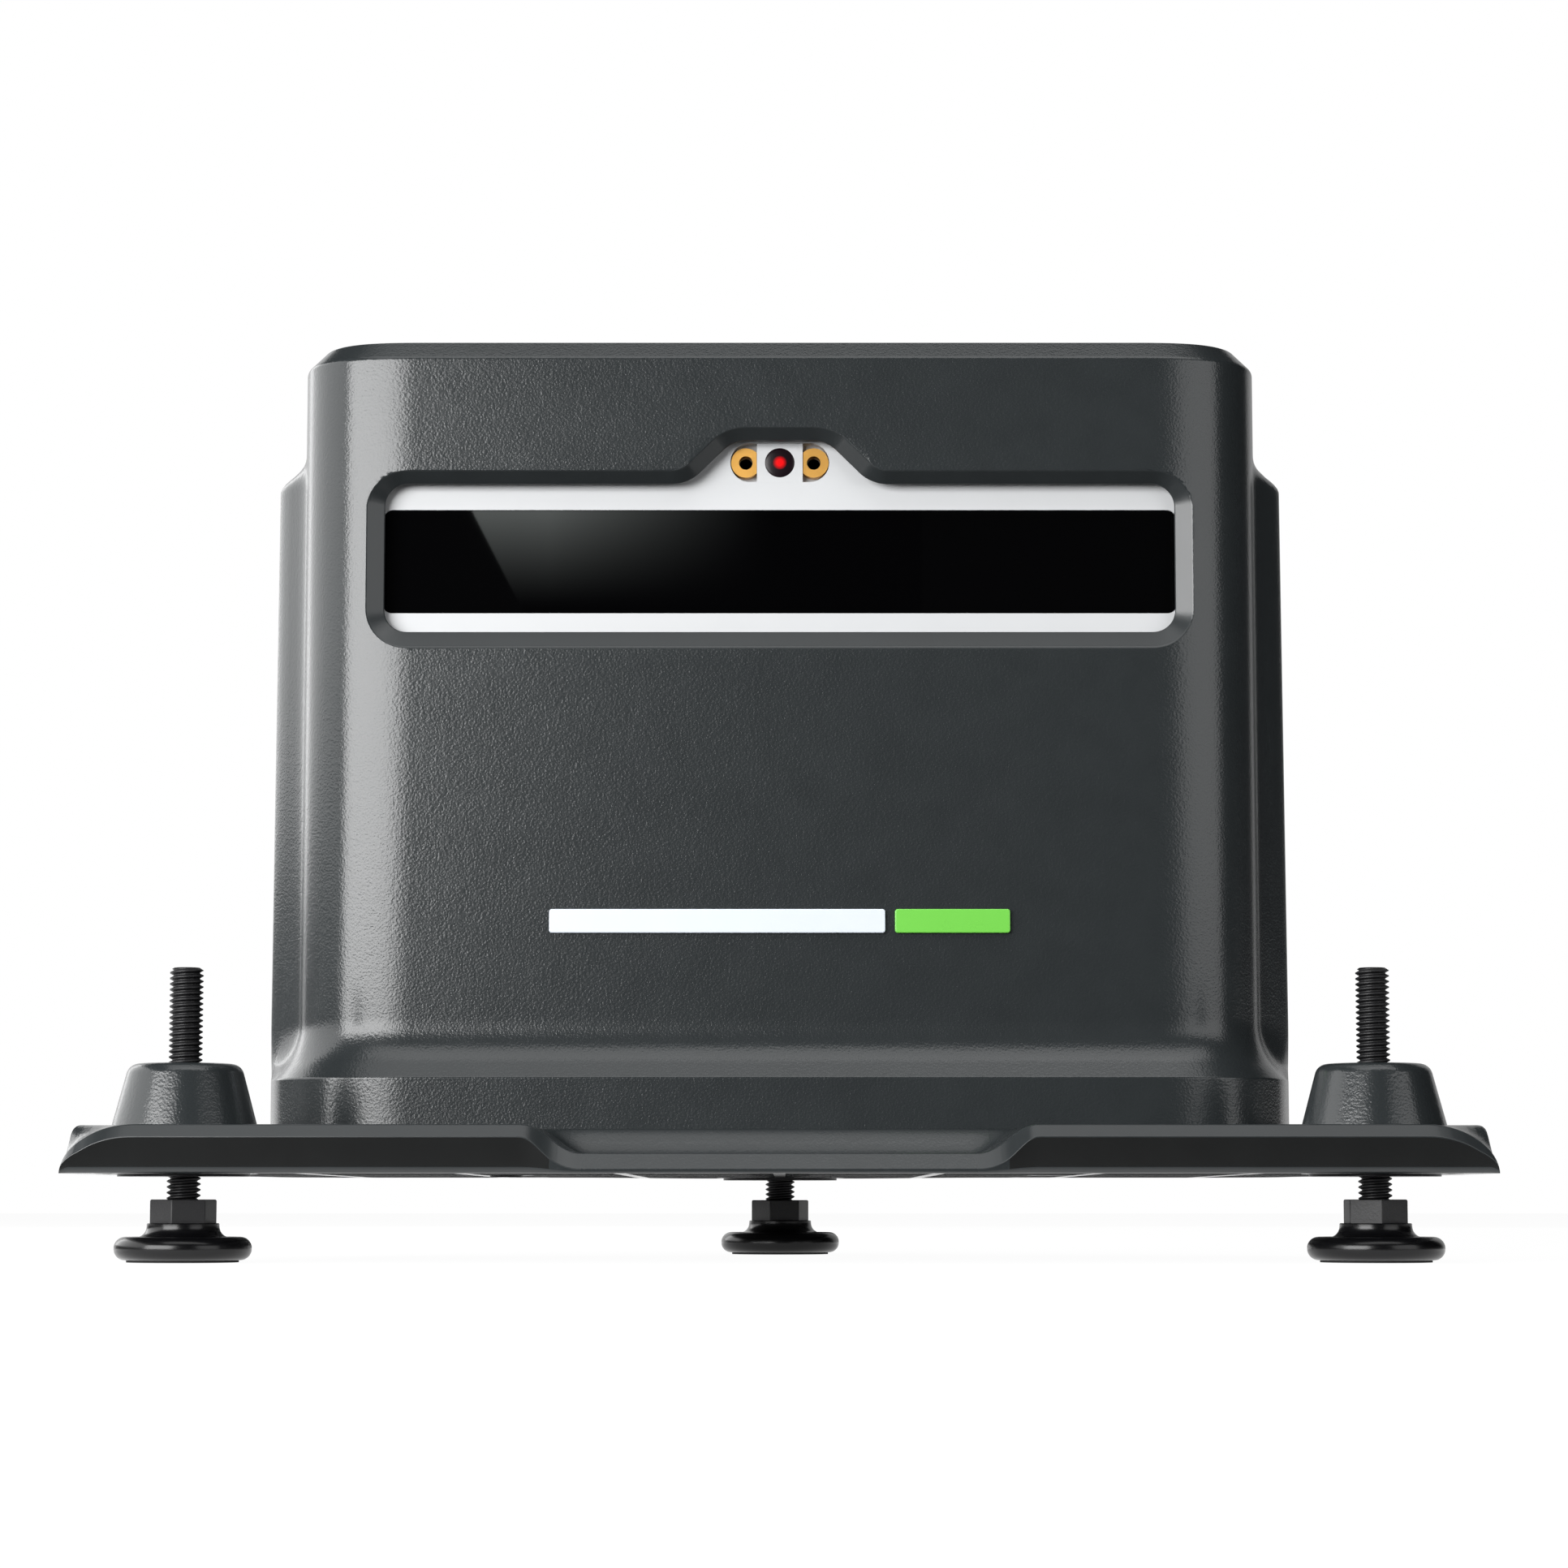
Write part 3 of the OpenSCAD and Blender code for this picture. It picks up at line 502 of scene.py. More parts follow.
def opening_tool():
    """Cutter of the front opening: a round outer edge, a sloping lip and a crisp inner edge."""
    lip, lip_top_share, edge_r, slope = 3.6, 0.67, 1.5, radians(46)
    front = MID_Y - BODY_HALF_D
    start = lip + edge_r * tan(slope / 2)
    profile = [(-4.0, start - edge_r * sin(0.05)), (-1.0, start - edge_r * sin(0.05))]
    for k in range(9):
        angle = 0.05 + (slope - 0.05) * k / 8
        profile.append((edge_r * (1 - cos(angle)), start - edge_r * sin(angle)))
    profile += [(WALL - 0.35, 0.22), (WALL - 0.2, 0.06), (WALL, 0.0), (WALL + 4, 0.0)]
    outline = opening_outline()
    rings = []
    for depth, margin in profile:
        ring = []
        for point, normal, _ in outline:
            share = 1 - (1 - lip_top_share) * max(normal.y, 0)
            moved = point + normal * margin * share
            ring.append((moved.x, front + front_recess(moved.x) + depth, moved.y))
        rings.append(ring)

    def kind_of(ring, point):
        upright = abs(outline[point][1].x) > 0.9
        return 0 if upright and ring < 7 else 1
    return loft("opening_tool", rings, kind_of, 1)


def access_tool():
    """Cutter of the rear opening, with a softly rounded outer edge."""
    half_w, low, high, radius, edge_r = 70, 50, 150, 10, 1.2
    back = MID_Y + BODY_HALF_D
    points = [(-half_w, low), (half_w, low), (half_w, high), (-half_w, high)]
    outline = filleted(points, [radius] * 4, 12)
    profile = [(4.0, edge_r), (0.5, edge_r)]
    for k in range(1, 8):
        angle = pi / 2 * k / 7
        profile.append((-edge_r * (1 - cos(angle)), edge_r * (1 - sin(angle))))
    profile.append((-WALL - 4, 0.0))
    rings = []
    for depth, margin in profile:
        rings.append([((p + n * margin).x, back + depth, (p + n * margin).y) for p, n, _ in outline])
    return loft("access_tool", rings, lambda ring, point: 1, 1)


def cover_piece():
    """The cover as a hollow shell with its front and rear openings."""
    plan = cover_plan()
    levels = cover_levels()
    rings = [cover_ring(plan, z, out) for z, out in levels]
    cover = loft("cover_shell", rings)
    paint(cover, charcoal_grain, charcoal_smooth, charcoal_inside)
    inner = [
        (PLATE_TOP - 4, FLARE_OUT - WALL), (LEDGE_Z - 2, FLARE_OUT - WALL), (LEDGE_Z + 2.5, -WALL)
    ]
    inner += [(z, -WALL) for z in (FLARE_TOP, 90, 130)]
    inner += [(SHOULDER_Z - 14 + 2 * k, -WALL) for k in range(8)]
    inner += [(COVER_TOP - 8, -WALL), (COVER_TOP - WALL, -WALL - 3)]
    inner_rings = [cover_ring(plan, z, out, 0.85) for z, out in inner]
    tool = loft("inside_tool", inner_rings, lambda ring, point: 2, 2)
    for cutter in (tool, opening_tool(), access_tool()):
        paint(cutter, charcoal_grain, charcoal_smooth, charcoal_inside)
        combine(cover, cutter)
    shade(cover)
    place(cover, "base", "charcoal_moulding", "cover")


# ---------------------------------------------------------------- the base plate

PLATE_FRONT = plate_low.y
PLATE_REAR = plate_high.y
PLATE_HALF_W = plate_high.x
BODY_REAR = MID_Y + BODY_HALF_D + FLARE_OUT + 4
WING_INNER = BODY_HALF_W + BULGE_OUT + 3
WING_REAR = MID_Y - 46
LOBE_HALF_W = 16
LOBE_BLEND = 30
REAR_CORNER = 22
TIP_W = 13
TIP_BACK = 12
NOTCH_IN = 38.5
NOTCH_OUT = 50.5
LIP_Z = PLATE_Z + 3.9
PLATE_BEVEL = 2.4
STEP_FOOT = MID_Y - BODY_HALF_D - FLARE_OUT - 8.5
STEP_HEAD = STEP_FOOT + 6.5


def rear_edge(x):
    """Y of the plate's back edge at a distance from the middle."""
    x = abs(x)
    body_end = WING_INNER - REAR_CORNER
    if x <= LOBE_HALF_W:
        return PLATE_REAR
    if x <= LOBE_HALF_W + LOBE_BLEND:
        return mix(PLATE_REAR, BODY_REAR, s_curve((x - LOBE_HALF_W) / LOBE_BLEND))
    if x <= body_end:
        return BODY_REAR
    if x <= WING_INNER:
        return BODY_REAR - REAR_CORNER + sqrt(max(REAR_CORNER ** 2 - (x - body_end) ** 2, 0))
    share = min((x - WING_INNER) / (PLATE_HALF_W - WING_INNER), 1)
    return mix(BODY_REAR - REAR_CORNER, WING_REAR, acos(1 - 2 * share) / pi)


def notch_share(x):
    """1 in the low middle of the front edge, 0 on the wings."""
    return 1 - s_curve((abs(x) - NOTCH_IN) / (NOTCH_OUT - NOTCH_IN))


def tip_drop(x):
    """How far the front edge has sunk at the swept tips."""
    t = min(max((abs(x) - PLATE_HALF_W + TIP_W) / TIP_W, 0), 1)
    return (PLATE_TOP - PLATE_Z - 0.9) * (1 - sqrt(1 - t * t))


def end_round(x):
    """Rounding of the plate's top towards its ends."""
    radius = 1.1
    t = min(max((abs(x) - PLATE_HALF_W + radius) / radius, 0), 1)
    return radius * (1 - sqrt(1 - t * t))


def top_height(x, y):
    """Height of the plate's upper side: low in the notch, sunk at the tips, round at the ends."""
    low_middle = (PLATE_TOP - LIP_Z) * notch_share(x)
    low_middle *= 1 - s_curve((y - STEP_FOOT) / (STEP_HEAD - STEP_FOOT))
    behind = s_curve((y - PLATE_FRONT - PLATE_BEVEL) / (TIP_BACK - PLATE_BEVEL))
    tip = tip_drop(x) * (1 - behind)
    return PLATE_TOP - low_middle - max(tip, end_round(x))


def plate_section(x):
    """The plate's outline at a distance from the middle: (y, z) points and their source corners."""
    rear = rear_edge(x)
    front_top = top_height(x, PLATE_FRONT)
    height = front_top - PLATE_Z
    notch = notch_share(x)
    bevel = mix(min(PLATE_BEVEL, 0.36 * height), 0.78 * height, notch)
    bevel_back = mix(bevel, 2.6, notch)
    bottom_r = mix(min(1.5, 0.3 * height), 0.5, notch)
    lean = 1.2 * (height - bevel) / (PLATE_TOP - PLATE_Z - PLATE_BEVEL)
    room = rear - PLATE_FRONT - bevel_back - 3.0
    offsets = [0.9, 1.8, 2.8, 4, 5.4, 7, 8.6, 10.2, 12, 16, 24, 33]
    offsets += [STEP_FOOT - PLATE_FRONT - 3 + 0.9 * k for k in range(14)]
    scale = min(1, room / (max(offsets) + 1))
    corners = [
        (rear, PLATE_Z), (PLATE_FRONT + lean, PLATE_Z), (PLATE_FRONT, front_top - bevel),
        (PLATE_FRONT + bevel_back, front_top)
    ]
    radii = [0.4, bottom_r, min(0.4, 0.1 * height), min(0.9, 0.18 * height)]
    for offset in offsets:
        y = PLATE_FRONT + bevel_back + offset * scale
        corners.append((y, top_height(x, y)))
        radii.append(0)
    corners.append((rear - 1.6, top_height(x, rear - 1.6)))
    radii.append(0)
    corners.append((rear, top_height(x, rear)))
    radii.append(1.0)
    return filleted([(-y, z) for y, z in corners], radii, 6)


def plate_stations():
    """Distances from the middle at which the plate's section is drawn."""
    stations = {0.0, 10.0, 20.0, 30.0, 56.0, 64.0, 73.0, 82.0, 118.0, 122.0}
    stations |= {NOTCH_IN - 1 + (NOTCH_OUT - NOTCH_IN + 2) * k / 18 for k in range(19)}
    stations |= {LOBE_HALF_W + LOBE_BLEND * k / 10 for k in range(11)}
    stations |= {WING_INNER - REAR_CORNER * (1 - sin(pi / 2 * k / 10)) for k in range(11)}
    stations |= {mix(WING_INNER, PLATE_HALF_W, s_curve(k / 16)) for k in range(17)}
    stations |= {PLATE_HALF_W - TIP_W * (1 - sin(pi / 2 * k / 16)) for k in range(17)}
    kept = []
    for x in sorted(stations):
        if not kept or x - kept[-1] > 0.04:
            kept.append(x)
    return [-x for x in reversed(kept[1:])] + kept


def plate_blank():
    """The plate before its bosses, bores and pockets, drawn as sections along X."""
    side_draft = 0.9
    stations = plate_stations()
    rings, corner_of = [], None
    for x in stations:
        section = plate_section(x)
        corner_of = [corner for _, _, corner in section]
        ring = []
        for point, _, _ in section:
            narrower = 1 - side_draft / PLATE_HALF_W * (point.y - PLATE_Z) / (PLATE_TOP - PLATE_Z)
            ring.append((x * narrower, -point.x, point.y))
        rings.append(ring)

    def kind_of(i, j):
        x = abs(stations[i] + stations[i + 1]) / 2
        here, after = corner_of[j], corner_of[(j + 1) % len(corner_of)]
        # The wings' front wall gets the glossy charcoal whose darker colour is painted shade.
        if (here, after) == (1, 2):
            return 2 if x > NOTCH_OUT - 6 else 0
        if here in (1, 2) or (here, after) == (3, 3):
            return 1 if x > NOTCH_IN else 0
        return 0
    return loft("base_plate_moulding", rings, kind_of)


def boss_profile():
    """(radius, height) of the pillar round a stud, with a rounded top."""
    base_r, top_r, rounding = 14.25, 11.0, 2.6
    top = plate_high.z
    slope = (base_r - top_r) / (top - PLATE_TOP)
    points = [(base_r + slope, PLATE_TOP - 1), (top_r, top), (4, top)]
    outline = filleted(points, [0, rounding, 0], 8, closed=False)
    return [(p.x, p.y) for p, _, _ in outline]


def plate_pockets():
    """Cutter of the hollows under the plate, between ribs and solid pillars."""
    skin, rib, gap = 5.2, 2.4, 31
    pocket_top = LIP_Z - 1.5
    half = [x for x in plate_stations() if 0 <= x <= PLATE_HALF_W - skin]
    back = [(x, rear_edge(x) - skin) for x in half]
    front = [(x, PLATE_FRONT + skin) for x in reversed(half)]
    right = back + front
    points = right + [(-x, y) for x, y in reversed(right) if x > 0]
    rings = [[(x, y, z) for x, y in points] for z in (PLATE_Z - 1, pocket_top)]
    tool = loft("pocket_tool", rings, lambda ring, point: 3, 3)
    keep = []
    for i in range(-4, 5):
        keep.append(((i * gap - rib / 2, -200), (i * gap + rib / 2, 200)))
    for y in (-58, -30, 0, 30):
        keep.append(((-200, MID_Y + y - rib / 2), (200, MID_Y + y + rib / 2)))
    for low, high in keep:
        corners = [(low[0], low[1]), (high[0], low[1]), (high[0], high[1]), (low[0], high[1])]
        rib_rings = [[(x, y, z) for x, y in corners] for z in (PLATE_Z - 3, pocket_top + 2)]
        combine(tool, loft("rib", rib_rings))
    pillars = [(foot.x, foot.y, 14.5) for foot in feet.values()]
    pillars += [(screw.x, screw.y, 6) for screw in screw_places()]
    for x, y, radius in pillars:
        profile = [(radius, PLATE_Z - 3), (radius, pocket_top + 2)]
        combine(tool, lathe("pillar", profile, 40, (x, y, 0)))
    return tool


def screw_places():
    """Middles of the cover screws."""
    return [(low + high) / 2 for low, high in solid_boxes("cover_screws")]


def plate_piece():
    """The base plate with its pillars, pockets and bores; material 3 is for what is hollowed out."""
    plate = plate_blank()
    slots = (charcoal_grain, charcoal_smooth, charcoal_gloss_painted_shade, charcoal_inside)
    paint(plate, *slots)
    for foot in feet.values():
        boss = lathe("boss", boss_profile(), 72, (foot.x, foot.y, 0))
        paint(boss, *slots)
        combine(plate, boss, "UNION")
    pockets = plate_pockets()
    paint(pockets, *slots)
    combine(plate, pockets)
    for foot in feet.values():
        insert_r, hole_r, neck = 5.0, STUD_R + 0.2, plate_high.z - 2
        profile = [(insert_r, PLATE_Z - 2), (insert_r, neck), (hole_r, neck + 0.01), (hole_r, neck + 4)]
        bore = lathe("bore", profile, 48, (foot.x, foot.y, 0), lambda ring, point: 3)
        paint(bore, *slots)
        combine(plate, bore)
    head_r, head_top, shank_r = 3.7, PLATE_Z + 2.4, 1.95
    for screw in screw_places():
        profile = [
            (head_r, PLATE_Z - 2), (head_r, head_top), (shank_r, head_top + 0.01), (shank_r, PLATE_TOP + 2)
        ]
        seat = lathe("seat", profile, 32, (screw.x, screw.y, 0), lambda ring, point: 3)
        paint(seat, *slots)
        combine(plate, seat)
    shade(plate)
    place(plate, "base", "charcoal_moulding", "base_plate")


# ---------------------------------------------------------------- levelling feet

FOOT_TOP = node_box("foot_left")[1].z
HEX_Z = 7.65
HEX_TOP = 12.3
HEX_AF = 11.5


def pad_profile():
    """(radius, height) of the pad and its neck, from the sole's pivot hole round to the neck's top."""
    pad_r, pad_low, pad_top, rim = 13.5, 0.4, 5.0, 2.25
    pivot_r, pivot_top, seat_r, seat_top = 3.05, 4.0, 11.05, 1.25
    profile = [(pivot_r, pivot_top), (pivot_r, seat_top), (seat_r, seat_top)]
    profile += [(seat_r, pad_low + 0.15), (seat_r + 0.2, pad_low)]
    for k in range(9):
        angle = -pi / 2 + pi / 2 * k / 8
        profile.append((pad_r - rim + rim * cos(angle), pad_low + rim + rim * sin(angle)))
    for k in range(1, 9):
        angle = pi / 2 * k / 8
        profile.append((pad_r - rim + rim * cos(angle), pad_top - rim + rim * sin(angle)))
    profile += [(10.2, pad_top - 0.12), (9.4, pad_top - 0.1)]
    neck_r, neck_base, neck_top = 7.1, 9.1, HEX_Z - 0.55
    for k in range(9):
        angle = pi / 2 * k / 8
        profile.append((neck_base - (neck_base - neck_r) * sin(angle),
                        neck_top - (neck_top - pad_top + 0.05) * cos(angle)))
    profile += [(neck_r, HEX_Z - 0.18), (neck_r - 0.15, HEX_Z), (4.5, HEX_Z + 0.02)]
    return profile


def hexagon(turn):
    """The foot's hexagon with slightly worn corners and a small chamfer on top."""
    corner = HEX_AF / 2 / cos(pi / 6)
    points = [(corner * cos(turn + pi / 3 * k), corner * sin(turn + pi / 3 * k)) for k in range(6)]
    outline = filleted(points, [0.35] * 6, 3)
    rings = []
    for z, inset in ((HEX_Z - 0.4, 0), (HEX_TOP - 0.3, 0), (HEX_TOP - 0.08, 0.1), (HEX_TOP, 0.3)):
        rings.append([((p - n * inset).x, (p - n * inset).y, z) for p, n, _ in outline])
    return loft("hexagon", rings)


def thread():
    """M6 thread with a 1 mm pitch: one long winding, cut to length with a chamfered end."""
    crest, root, steps = STUD_R - 0.015, 0.79 * STUD_R, 30
    shape = [(0.0, crest), (0.2, crest), (0.5, root), (0.66, root)]
    lead = len(shape)
    low, high = HEX_TOP - 1, FOOT_TOP
    rows = (int((high - low) / PITCH) + 4) * lead
    verts, faces = [], []
    for k in range(steps):
        angle = 2 * pi * k / steps
        for row in range(rows):
            rise, radius = shape[row % lead]
            z = low + PITCH * (row // lead - 1.5 + rise + k / steps)
            verts.append((radius * cos(angle), radius * sin(angle), z))
    for k in range(steps - 1):
        for row in range(rows - 1):
            a = k * rows + row
            faces.append((a, a + rows, a + rows + 1, a + 1))
    last = (steps - 1) * rows
    for row in range(rows - 1 - lead):
        faces.append((last + row, row + lead, row + lead + 1, last + row + 1))
    faces.append([k * rows for k in range(steps)] + [lead - i for i in range(lead)])
    faces.append([(k + 1) * rows - 1 for k in range(steps)] + [last + rows - 2 - i for i in range(lead)])
    winding = build("thread", verts, faces)
    core = lathe("core", [(0.9 * STUD_R, low), (STUD_R + 0.2, low + 0.3),
                          (STUD_R + 0.2, high - 0.65), (0.77 * STUD_R, high)], 48)
    combine(winding, core, "INTERSECT")
    return winding


def foot_pieces():
    """One moulding for each foot, with the hexagons turned as the studs happen to stand."""
    turns = {"left": 18, "right": 33, "rear": 10}
    stud = thread()
    for side, at in feet.items():
        foot = lathe("foot_" + side + "_moulding", pad_profile(), 96)
        paint(foot, foot_nylon, hex_nylon)
        bolt = hexagon(radians(turns[side]))
        bolt.data.polygons.foreach_set("material_index", [1] * len(bolt.data.polygons))
        paint(bolt, foot_nylon, hex_nylon)
        combine(foot, bolt, "UNION")
        copy = bpy.data.objects.new("stud", stud.data.copy())
        bpy.context.scene.collection.objects.link(copy)
        copy.data.polygons.foreach_set("material_index", [1] * len(copy.data.polygons))
        paint(copy, foot_nylon, hex_nylon)
        combine(foot, copy, "UNION")
        foot.data.transform(Matrix.Translation(Vector((at.x, at.y, 0)) * UNIT))
        shade(foot, 30)
        place(foot, side + "_foot", "foot_nylon", "foot_" + side)
    bpy.data.objects.remove(stud, do_unlink=True)


# ---------------------------------------------------------------- badge, foam and pointer

def rounded_block(name, low, high, edge, radius):
    """Block with soft edges; its corners in X and Z have their own radius. It stands along Y."""
    steps = 4
    points = [(low.x, low.z), (high.x, low.z), (high.x, high.z), (low.x, high.z)]
    outline = filleted(points, [radius] * 4, 6)
    angles = [pi / 2 * k / steps for k in range(steps + 1)]
    front = [(low.y + edge * (1 - sin(a)), edge * (1 - cos(a))) for a in reversed(angles)]
    back = [(high.y - edge * (1 - sin(a)), edge * (1 - cos(a))) for a in angles]
    rings = []
    for y, inset in front + back:
        rings.append([((p - n * inset).x, y, (p - n * inset).y) for p, n, _ in outline])
    return loft(name, rings)


def badge_pieces():
    """The plain two-tone bar let into the cover's front."""
    for node, material, slot_name in (
        ("badge_bar", badge_grey, "badge_grey"), ("badge_accent", badge_green, "badge_green")
    ):
        low, high = node_box(node)
        bar = rounded_block(node + "_inlay", low, high + Vector((0, 0.3, 0)), 0.25, 0.6)
        paint(bar, material)
        shade(bar)
        place(bar, "base", slot_name, node)


def foam_block(name, low, high):
    """A block of foam whose faces crown a little and whose edges are soft and uneven."""
    size = high - low
    bm = bmesh.new()
    bmesh.ops.create_cube(bm, size=1)
    cuts = 14
    bmesh.ops.subdivide_edges(bm, edges=bm.edges, cuts=cuts, use_grid_fill=True)
    centre = (low + high) / 2
    edge = min(min(size) * 0.22, 1.6)
    for vert in bm.verts:
        share = Vector([vert.co[axis] * 2 for axis in range(3)])
        spread = [abs(share[axis]) for axis in range(3)]
        corner = sorted(spread)
        at = Vector([centre[axis] + share[axis] * (size[axis] / 2) for axis in range(3)])
        pull = edge * (max(corner[1], 0) ** 12)
        crown = 0.35 * (1 - corner[1] ** 2)
        wander = noise.noise(at / 7) * 0.25
        for axis in range(3):
            if spread[axis] > 0.999:
                at[axis] -= (pull + crown * 0.4 + abs(wander)) * (1 if share[axis] > 0 else -1)
        vert.co = at * UNIT
    mesh = bpy.data.meshes.new(name)
    bm.to_mesh(mesh)
    bm.free()
    block = bpy.data.objects.new(name, mesh)
    bpy.context.scene.collection.objects.link(block)
    paint(block, foam_grey)
    shade(block, 60)
    return block


def foam_pieces():
    """A foam block for every pad that holds the monitor."""
    for node in ("foam_bottom", "foam_top", "foam_left", "foam_right", "foam_rear", "foam_front"):
        for number, (low, high) in enumerate(solid_boxes(node), 1):
            block = foam_block(f"{node}_pad_{number}", low, high)
            place(block, "base", "foam", node)


def pointer_piece():
    """The pointer's lens, a shallow dome with a lit middle."""
    low, high = node_box("pointer_lens")
    centre = (low + high) / 2
    radius = (high.x - low.x) / 2
    dome = 0.3
    profile = [(radius, 0), (radius, high.y - low.y - dome)]
    for k in range(1, 9):
        angle = pi / 2 * k / 9
        profile.append((radius * cos(angle), high.y - low.y - dome + dome * sin(angle)))
    lens = lathe("pointer_dome", profile, 64)
    lens.data.transform(Matrix.Rotation(pi / 2, 4, "X"))
    lens.data.transform(Matrix.Translation(Vector((centre.x, high.y, centre.z)) * UNIT))
    paint(lens, glowing_lens())
    shade(lens)
    place(lens, "base", "pointer_glow", "pointer_lens")


# ---------------------------------------------------------------- CAD parts that stay

def soften(node, width):
    """Small round on a CAD part's edges."""
    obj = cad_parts[node]
    for face in obj.data.polygons:
        face.use_smooth = True
    bevel = obj.modifiers.new("soft_edges", "BEVEL")
    bevel.width = width * UNIT
    bevel.segments = 3
    bevel.limit_method = "ANGLE"
    bevel.angle_limit = radians(35)
    bevel.harden_normals = True


KEPT = {
    "thread_inserts": (black_steel, 0.15), "cover_screws": (black_steel, 0.3),
    "front_housing": (white_shell, 0.3), "rear_housing": (white_shell, 0.3),
    "window": (dark_window, 0.1), "window_gasket": (gasket_rubber, 0.05),
    "pointer_block": (white_shell, 0.12), "pointer_sleeves": (brass, 0.12),
    "pointer_module": (brass, 0.2), "camera_barrels": (black_aluminium, 0.2),
    "camera_lenses": (lens_glass, 0.2), "camera_bracket": (aluminium, 0.2),
    "flash_board": (circuit_board, 0.1), "flash_leds": (led_resin, 0.2),
    "main_board": (circuit_board, 0.1), "shield_can": (tinned_steel, 0.2),
    "battery_pack": (battery_wrap, 0.4), "battery_tray": (black_moulding, 0.3),
    "io_board": (circuit_board, 0.1), "usb_port": (tinned_steel, 0.15),
    "switch_board": (black_moulding, 0.1), "light_pipe": (clear_pipe, 0.15),
    "antenna_board": (circuit_board, 0.1), "ribbon_cable": (ribbon, 0.05),
    "housing_screws": (tinned_steel, 0.2), "power_button": (black_moulding, 0.3),
    "sole_left": (sole_rubber, 0.2), "sole_right": (sole_rubber, 0.2), "sole_rear": (sole_rubber, 0.2),
}


def kept_parts():
    """Materials and soft edges for the CAD parts that need no new shape."""
    for node, (material, width) in KEPT.items():
        paint(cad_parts[node], material)
        soften(node, width)


# ---------------------------------------------------------------- studio

EYE = Vector((0.9, MID_Y - 879, 11.5))


def floor():
    """Pale floor; what the object reflects of it is dark in front and light underneath."""
    material = bpy.data.materials.new("studio_floor")
    tree = nodes_of(material)
    path = add(tree, "ShaderNodeLightPath")
    depth = add(tree, "ShaderNodeSeparateXYZ")
    tree.links.new(object_space(tree), depth.inputs["Vector"])
    fade_from, fade_to = (PLATE_FRONT - 45) * UNIT, (PLATE_FRONT - 5) * UNIT
    behind = remap(tree, depth.outputs["Y"], 0.0, 1.0, fade_from, fade_to)
    bounce = add(tree, "ShaderNodeBsdfDiffuse")
    tree.links.new(tone(tree, behind, (0.04, 0.04, 0.04), (0.8, 0.8, 0.8)), bounce.inputs["Color"])
    under = add(tree, "ShaderNodeEmission", {"Color": (1, 1, 1, 1)})
    under_glow = add(tree, "ShaderNodeMath", {1: 0.7}, operation="MULTIPLY")
    tree.links.new(behind, under_glow.inputs[0])
    under_seen = add(tree, "ShaderNodeMath", operation="MULTIPLY")
    tree.links.new(under_glow.outputs["Value"], under_seen.inputs[0])
    tree.links.new(path.outputs["Is Glossy Ray"], under_seen.inputs[1])
    tree.links.new(under_seen.outputs["Value"], under.inputs["Strength"])
    reflected = add(tree, "ShaderNodeAddShader")
    tree.links.new(bounce.outputs["BSDF"], reflected.inputs[0])
    tree.links.new(under.outputs["Emission"], reflected.inputs[1])
    pale = add(tree, "ShaderNodeBsdfDiffuse", {"Color": (0.05, 0.05, 0.05, 1)})
    glow = add(tree, "ShaderNodeEmission", {"Color": (1, 1, 1, 1), "Strength": 0.965})
    seen = add(tree, "ShaderNodeAddShader")
    tree.links.new(pale.outputs["BSDF"], seen.inputs[0])
    tree.links.new(glow.outputs["Emission"], seen.inputs[1])
    blend = add(tree, "ShaderNodeMixShader")
    tree.links.new(path.outputs["Is Camera Ray"], blend.inputs["Fac"])
    tree.links.new(reflected.outputs["Shader"], blend.inputs[1])
    tree.links.new(seen.outputs["Shader"], blend.inputs[2])
    output = add(tree, "ShaderNodeOutputMaterial")
    tree.links.new(blend.outputs["Shader"], output.inputs["Surface"])
    half, drop = 4000, 0.05
    corners = [(-half, -half, -drop), (half, -half, -drop), (half, half, -drop), (-half, half, -drop)]
    plane = build("floor", corners, [(0, 1, 2, 3)])
    paint(plane, material)


def backdrop():
    """White world for the camera, a dim one for what the object reflects."""
    camera_white, surround = 1.0, 0.012
    world = bpy.data.worlds.new("studio")
    bpy.context.scene.world = world
    world.use_nodes = True
    tree = world.node_tree
    tree.nodes.clear()
    path = add(tree, "ShaderNodeLightPath")
    strength = remap(tree, path.outputs["Is Camera Ray"], surround, camera_white)
    glow = add(tree, "ShaderNodeBackground", {"Color": (1, 1, 1, 1)})
    tree.links.new(strength, glow.inputs["Strength"])
    output = add(tree, "ShaderNodeOutputWorld")
    tree.links.new(glow.outputs["Background"], output.inputs["Surface"])


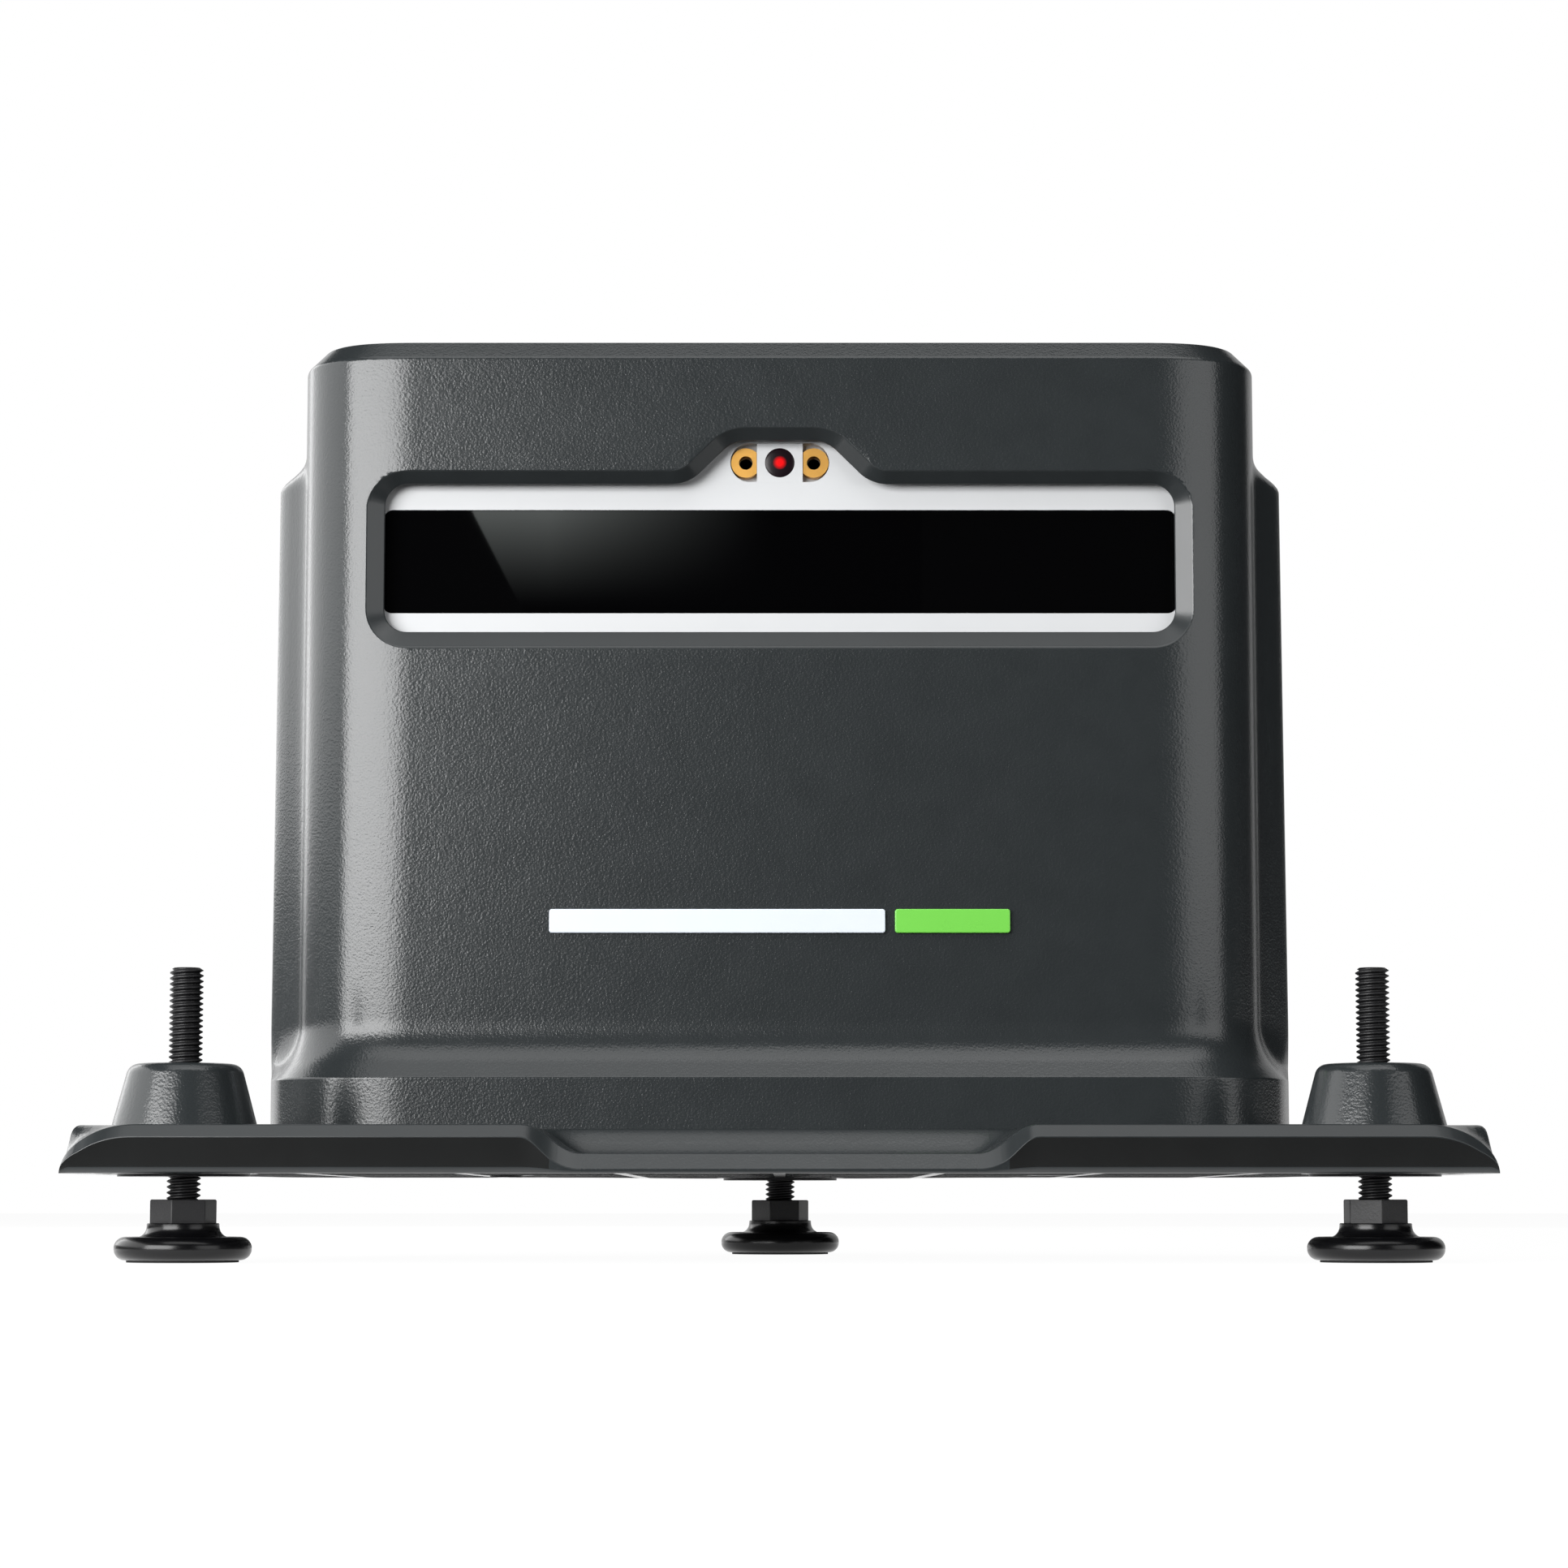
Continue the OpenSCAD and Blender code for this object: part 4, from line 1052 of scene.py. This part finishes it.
def window_card():
    """Weak slanted card that only reflections see; it draws a soft diagonal edge in the window."""
    material = bpy.data.materials.new("window_card")
    tree = nodes_of(material)
    place_of = add(tree, "ShaderNodeTexCoord").outputs["Generated"]
    parts = add(tree, "ShaderNodeSeparateXYZ")
    tree.links.new(place_of, parts.inputs["Vector"])
    across = remap(tree, parts.outputs["X"], 1.0, 0.0, 0.19, 0.69)
    upwards = remap(tree, parts.outputs["Z"], 0.0, 1.0, 0.2, 0.85)
    both = add(tree, "ShaderNodeMath", operation="MULTIPLY")
    tree.links.new(across, both.inputs[0])
    tree.links.new(upwards, both.inputs[1])
    power = add(tree, "ShaderNodeMath", {1: 1.9}, operation="POWER")
    tree.links.new(both.outputs["Value"], power.inputs[0])
    strength = add(tree, "ShaderNodeMath", {1: 2.1}, operation="MULTIPLY")
    tree.links.new(power.outputs["Value"], strength.inputs[0])
    glow = add(tree, "ShaderNodeEmission", {"Color": (0.93, 1.0, 0.97, 1)})
    tree.links.new(strength.outputs["Value"], glow.inputs["Strength"])
    output = add(tree, "ShaderNodeOutputMaterial")
    tree.links.new(glow.outputs["Emission"], output.inputs["Surface"])
    low, high = node_box("window")

    def mirrored_point(x, z):
        """Where a point of the window, seen from the camera, finds its reflection beside the camera."""
        return (2 * x - EYE.x, EYE.y - 1, 2 * z - EYE.z)
    corners = [(-51, low.z - 6), (30, low.z - 6), (30, high.z + 4), (-67.3, high.z + 4)]
    card = build("window_card", [mirrored_point(x, z) for x, z in corners], [(0, 1, 2, 3)])
    paint(card, material)
    card.visible_camera = False
    card.visible_diffuse = False
    card.visible_shadow = False


def softbox(name, azimuth, elevation, width, height, glow):
    """Area light by bearing and size in degrees, seen from its aim; azimuth 90 is to the right."""
    aim, distance = Vector((0, 0, 100)), 1100
    data = bpy.data.lights.new(name, "AREA")
    data.shape = "RECTANGLE"
    data.size = 2 * distance * tan(radians(width) / 2) * UNIT
    data.size_y = 2 * distance * tan(radians(height) / 2) * UNIT
    data.energy = glow * pi * data.size * data.size_y
    lamp = bpy.data.objects.new(name, data)
    bpy.context.scene.collection.objects.link(lamp)
    a, e = radians(azimuth), radians(elevation)
    away = Vector((sin(a) * cos(e), -cos(a) * cos(e), sin(e)))
    lamp.location = (aim + away * distance) * UNIT
    lamp.rotation_mode = "QUATERNION"
    lamp.rotation_quaternion = away.to_track_quat("Z", "Y")
    lamp.visible_camera = False
    return lamp


def lights():
    """Softboxes whose reflections draw the cover's bright left corner and its dim right side."""
    softbox("key_left", -36, 10, 44, 26, 12.0)
    softbox("side_left", -104, 21, 78, 34, 2.7)
    softbox("rim_left", -155, 9, 44, 50, 1.1)
    softbox("fill_right", 45, 10, 40, 28, 2.0)
    softbox("rim_right", 152, 9, 40, 50, 0.6)
    softbox("overhead", 0, 84, 50, 34, 1.35)
    softbox("front_top", 8, 58, 60, 24, 2.2)


def camera():
    """Just above the floor, tilted slightly up, as the object was photographed."""
    data = bpy.data.cameras.new("camera")
    data.lens = 93.17
    data.sensor_width = 36
    data.clip_end = 20
    eye = bpy.data.objects.new("camera", data)
    bpy.context.scene.collection.objects.link(eye)
    eye.location = EYE * UNIT
    eye.rotation_euler = (radians(95.903), 0, 0)
    bpy.context.scene.camera = eye


cover_piece()
plate_piece()
foot_pieces()
badge_pieces()
foam_pieces()
pointer_piece()
kept_parts()
floor()
window_card()
backdrop()
lights()
camera()
bpy.context.scene.view_settings.view_transform = "Standard"
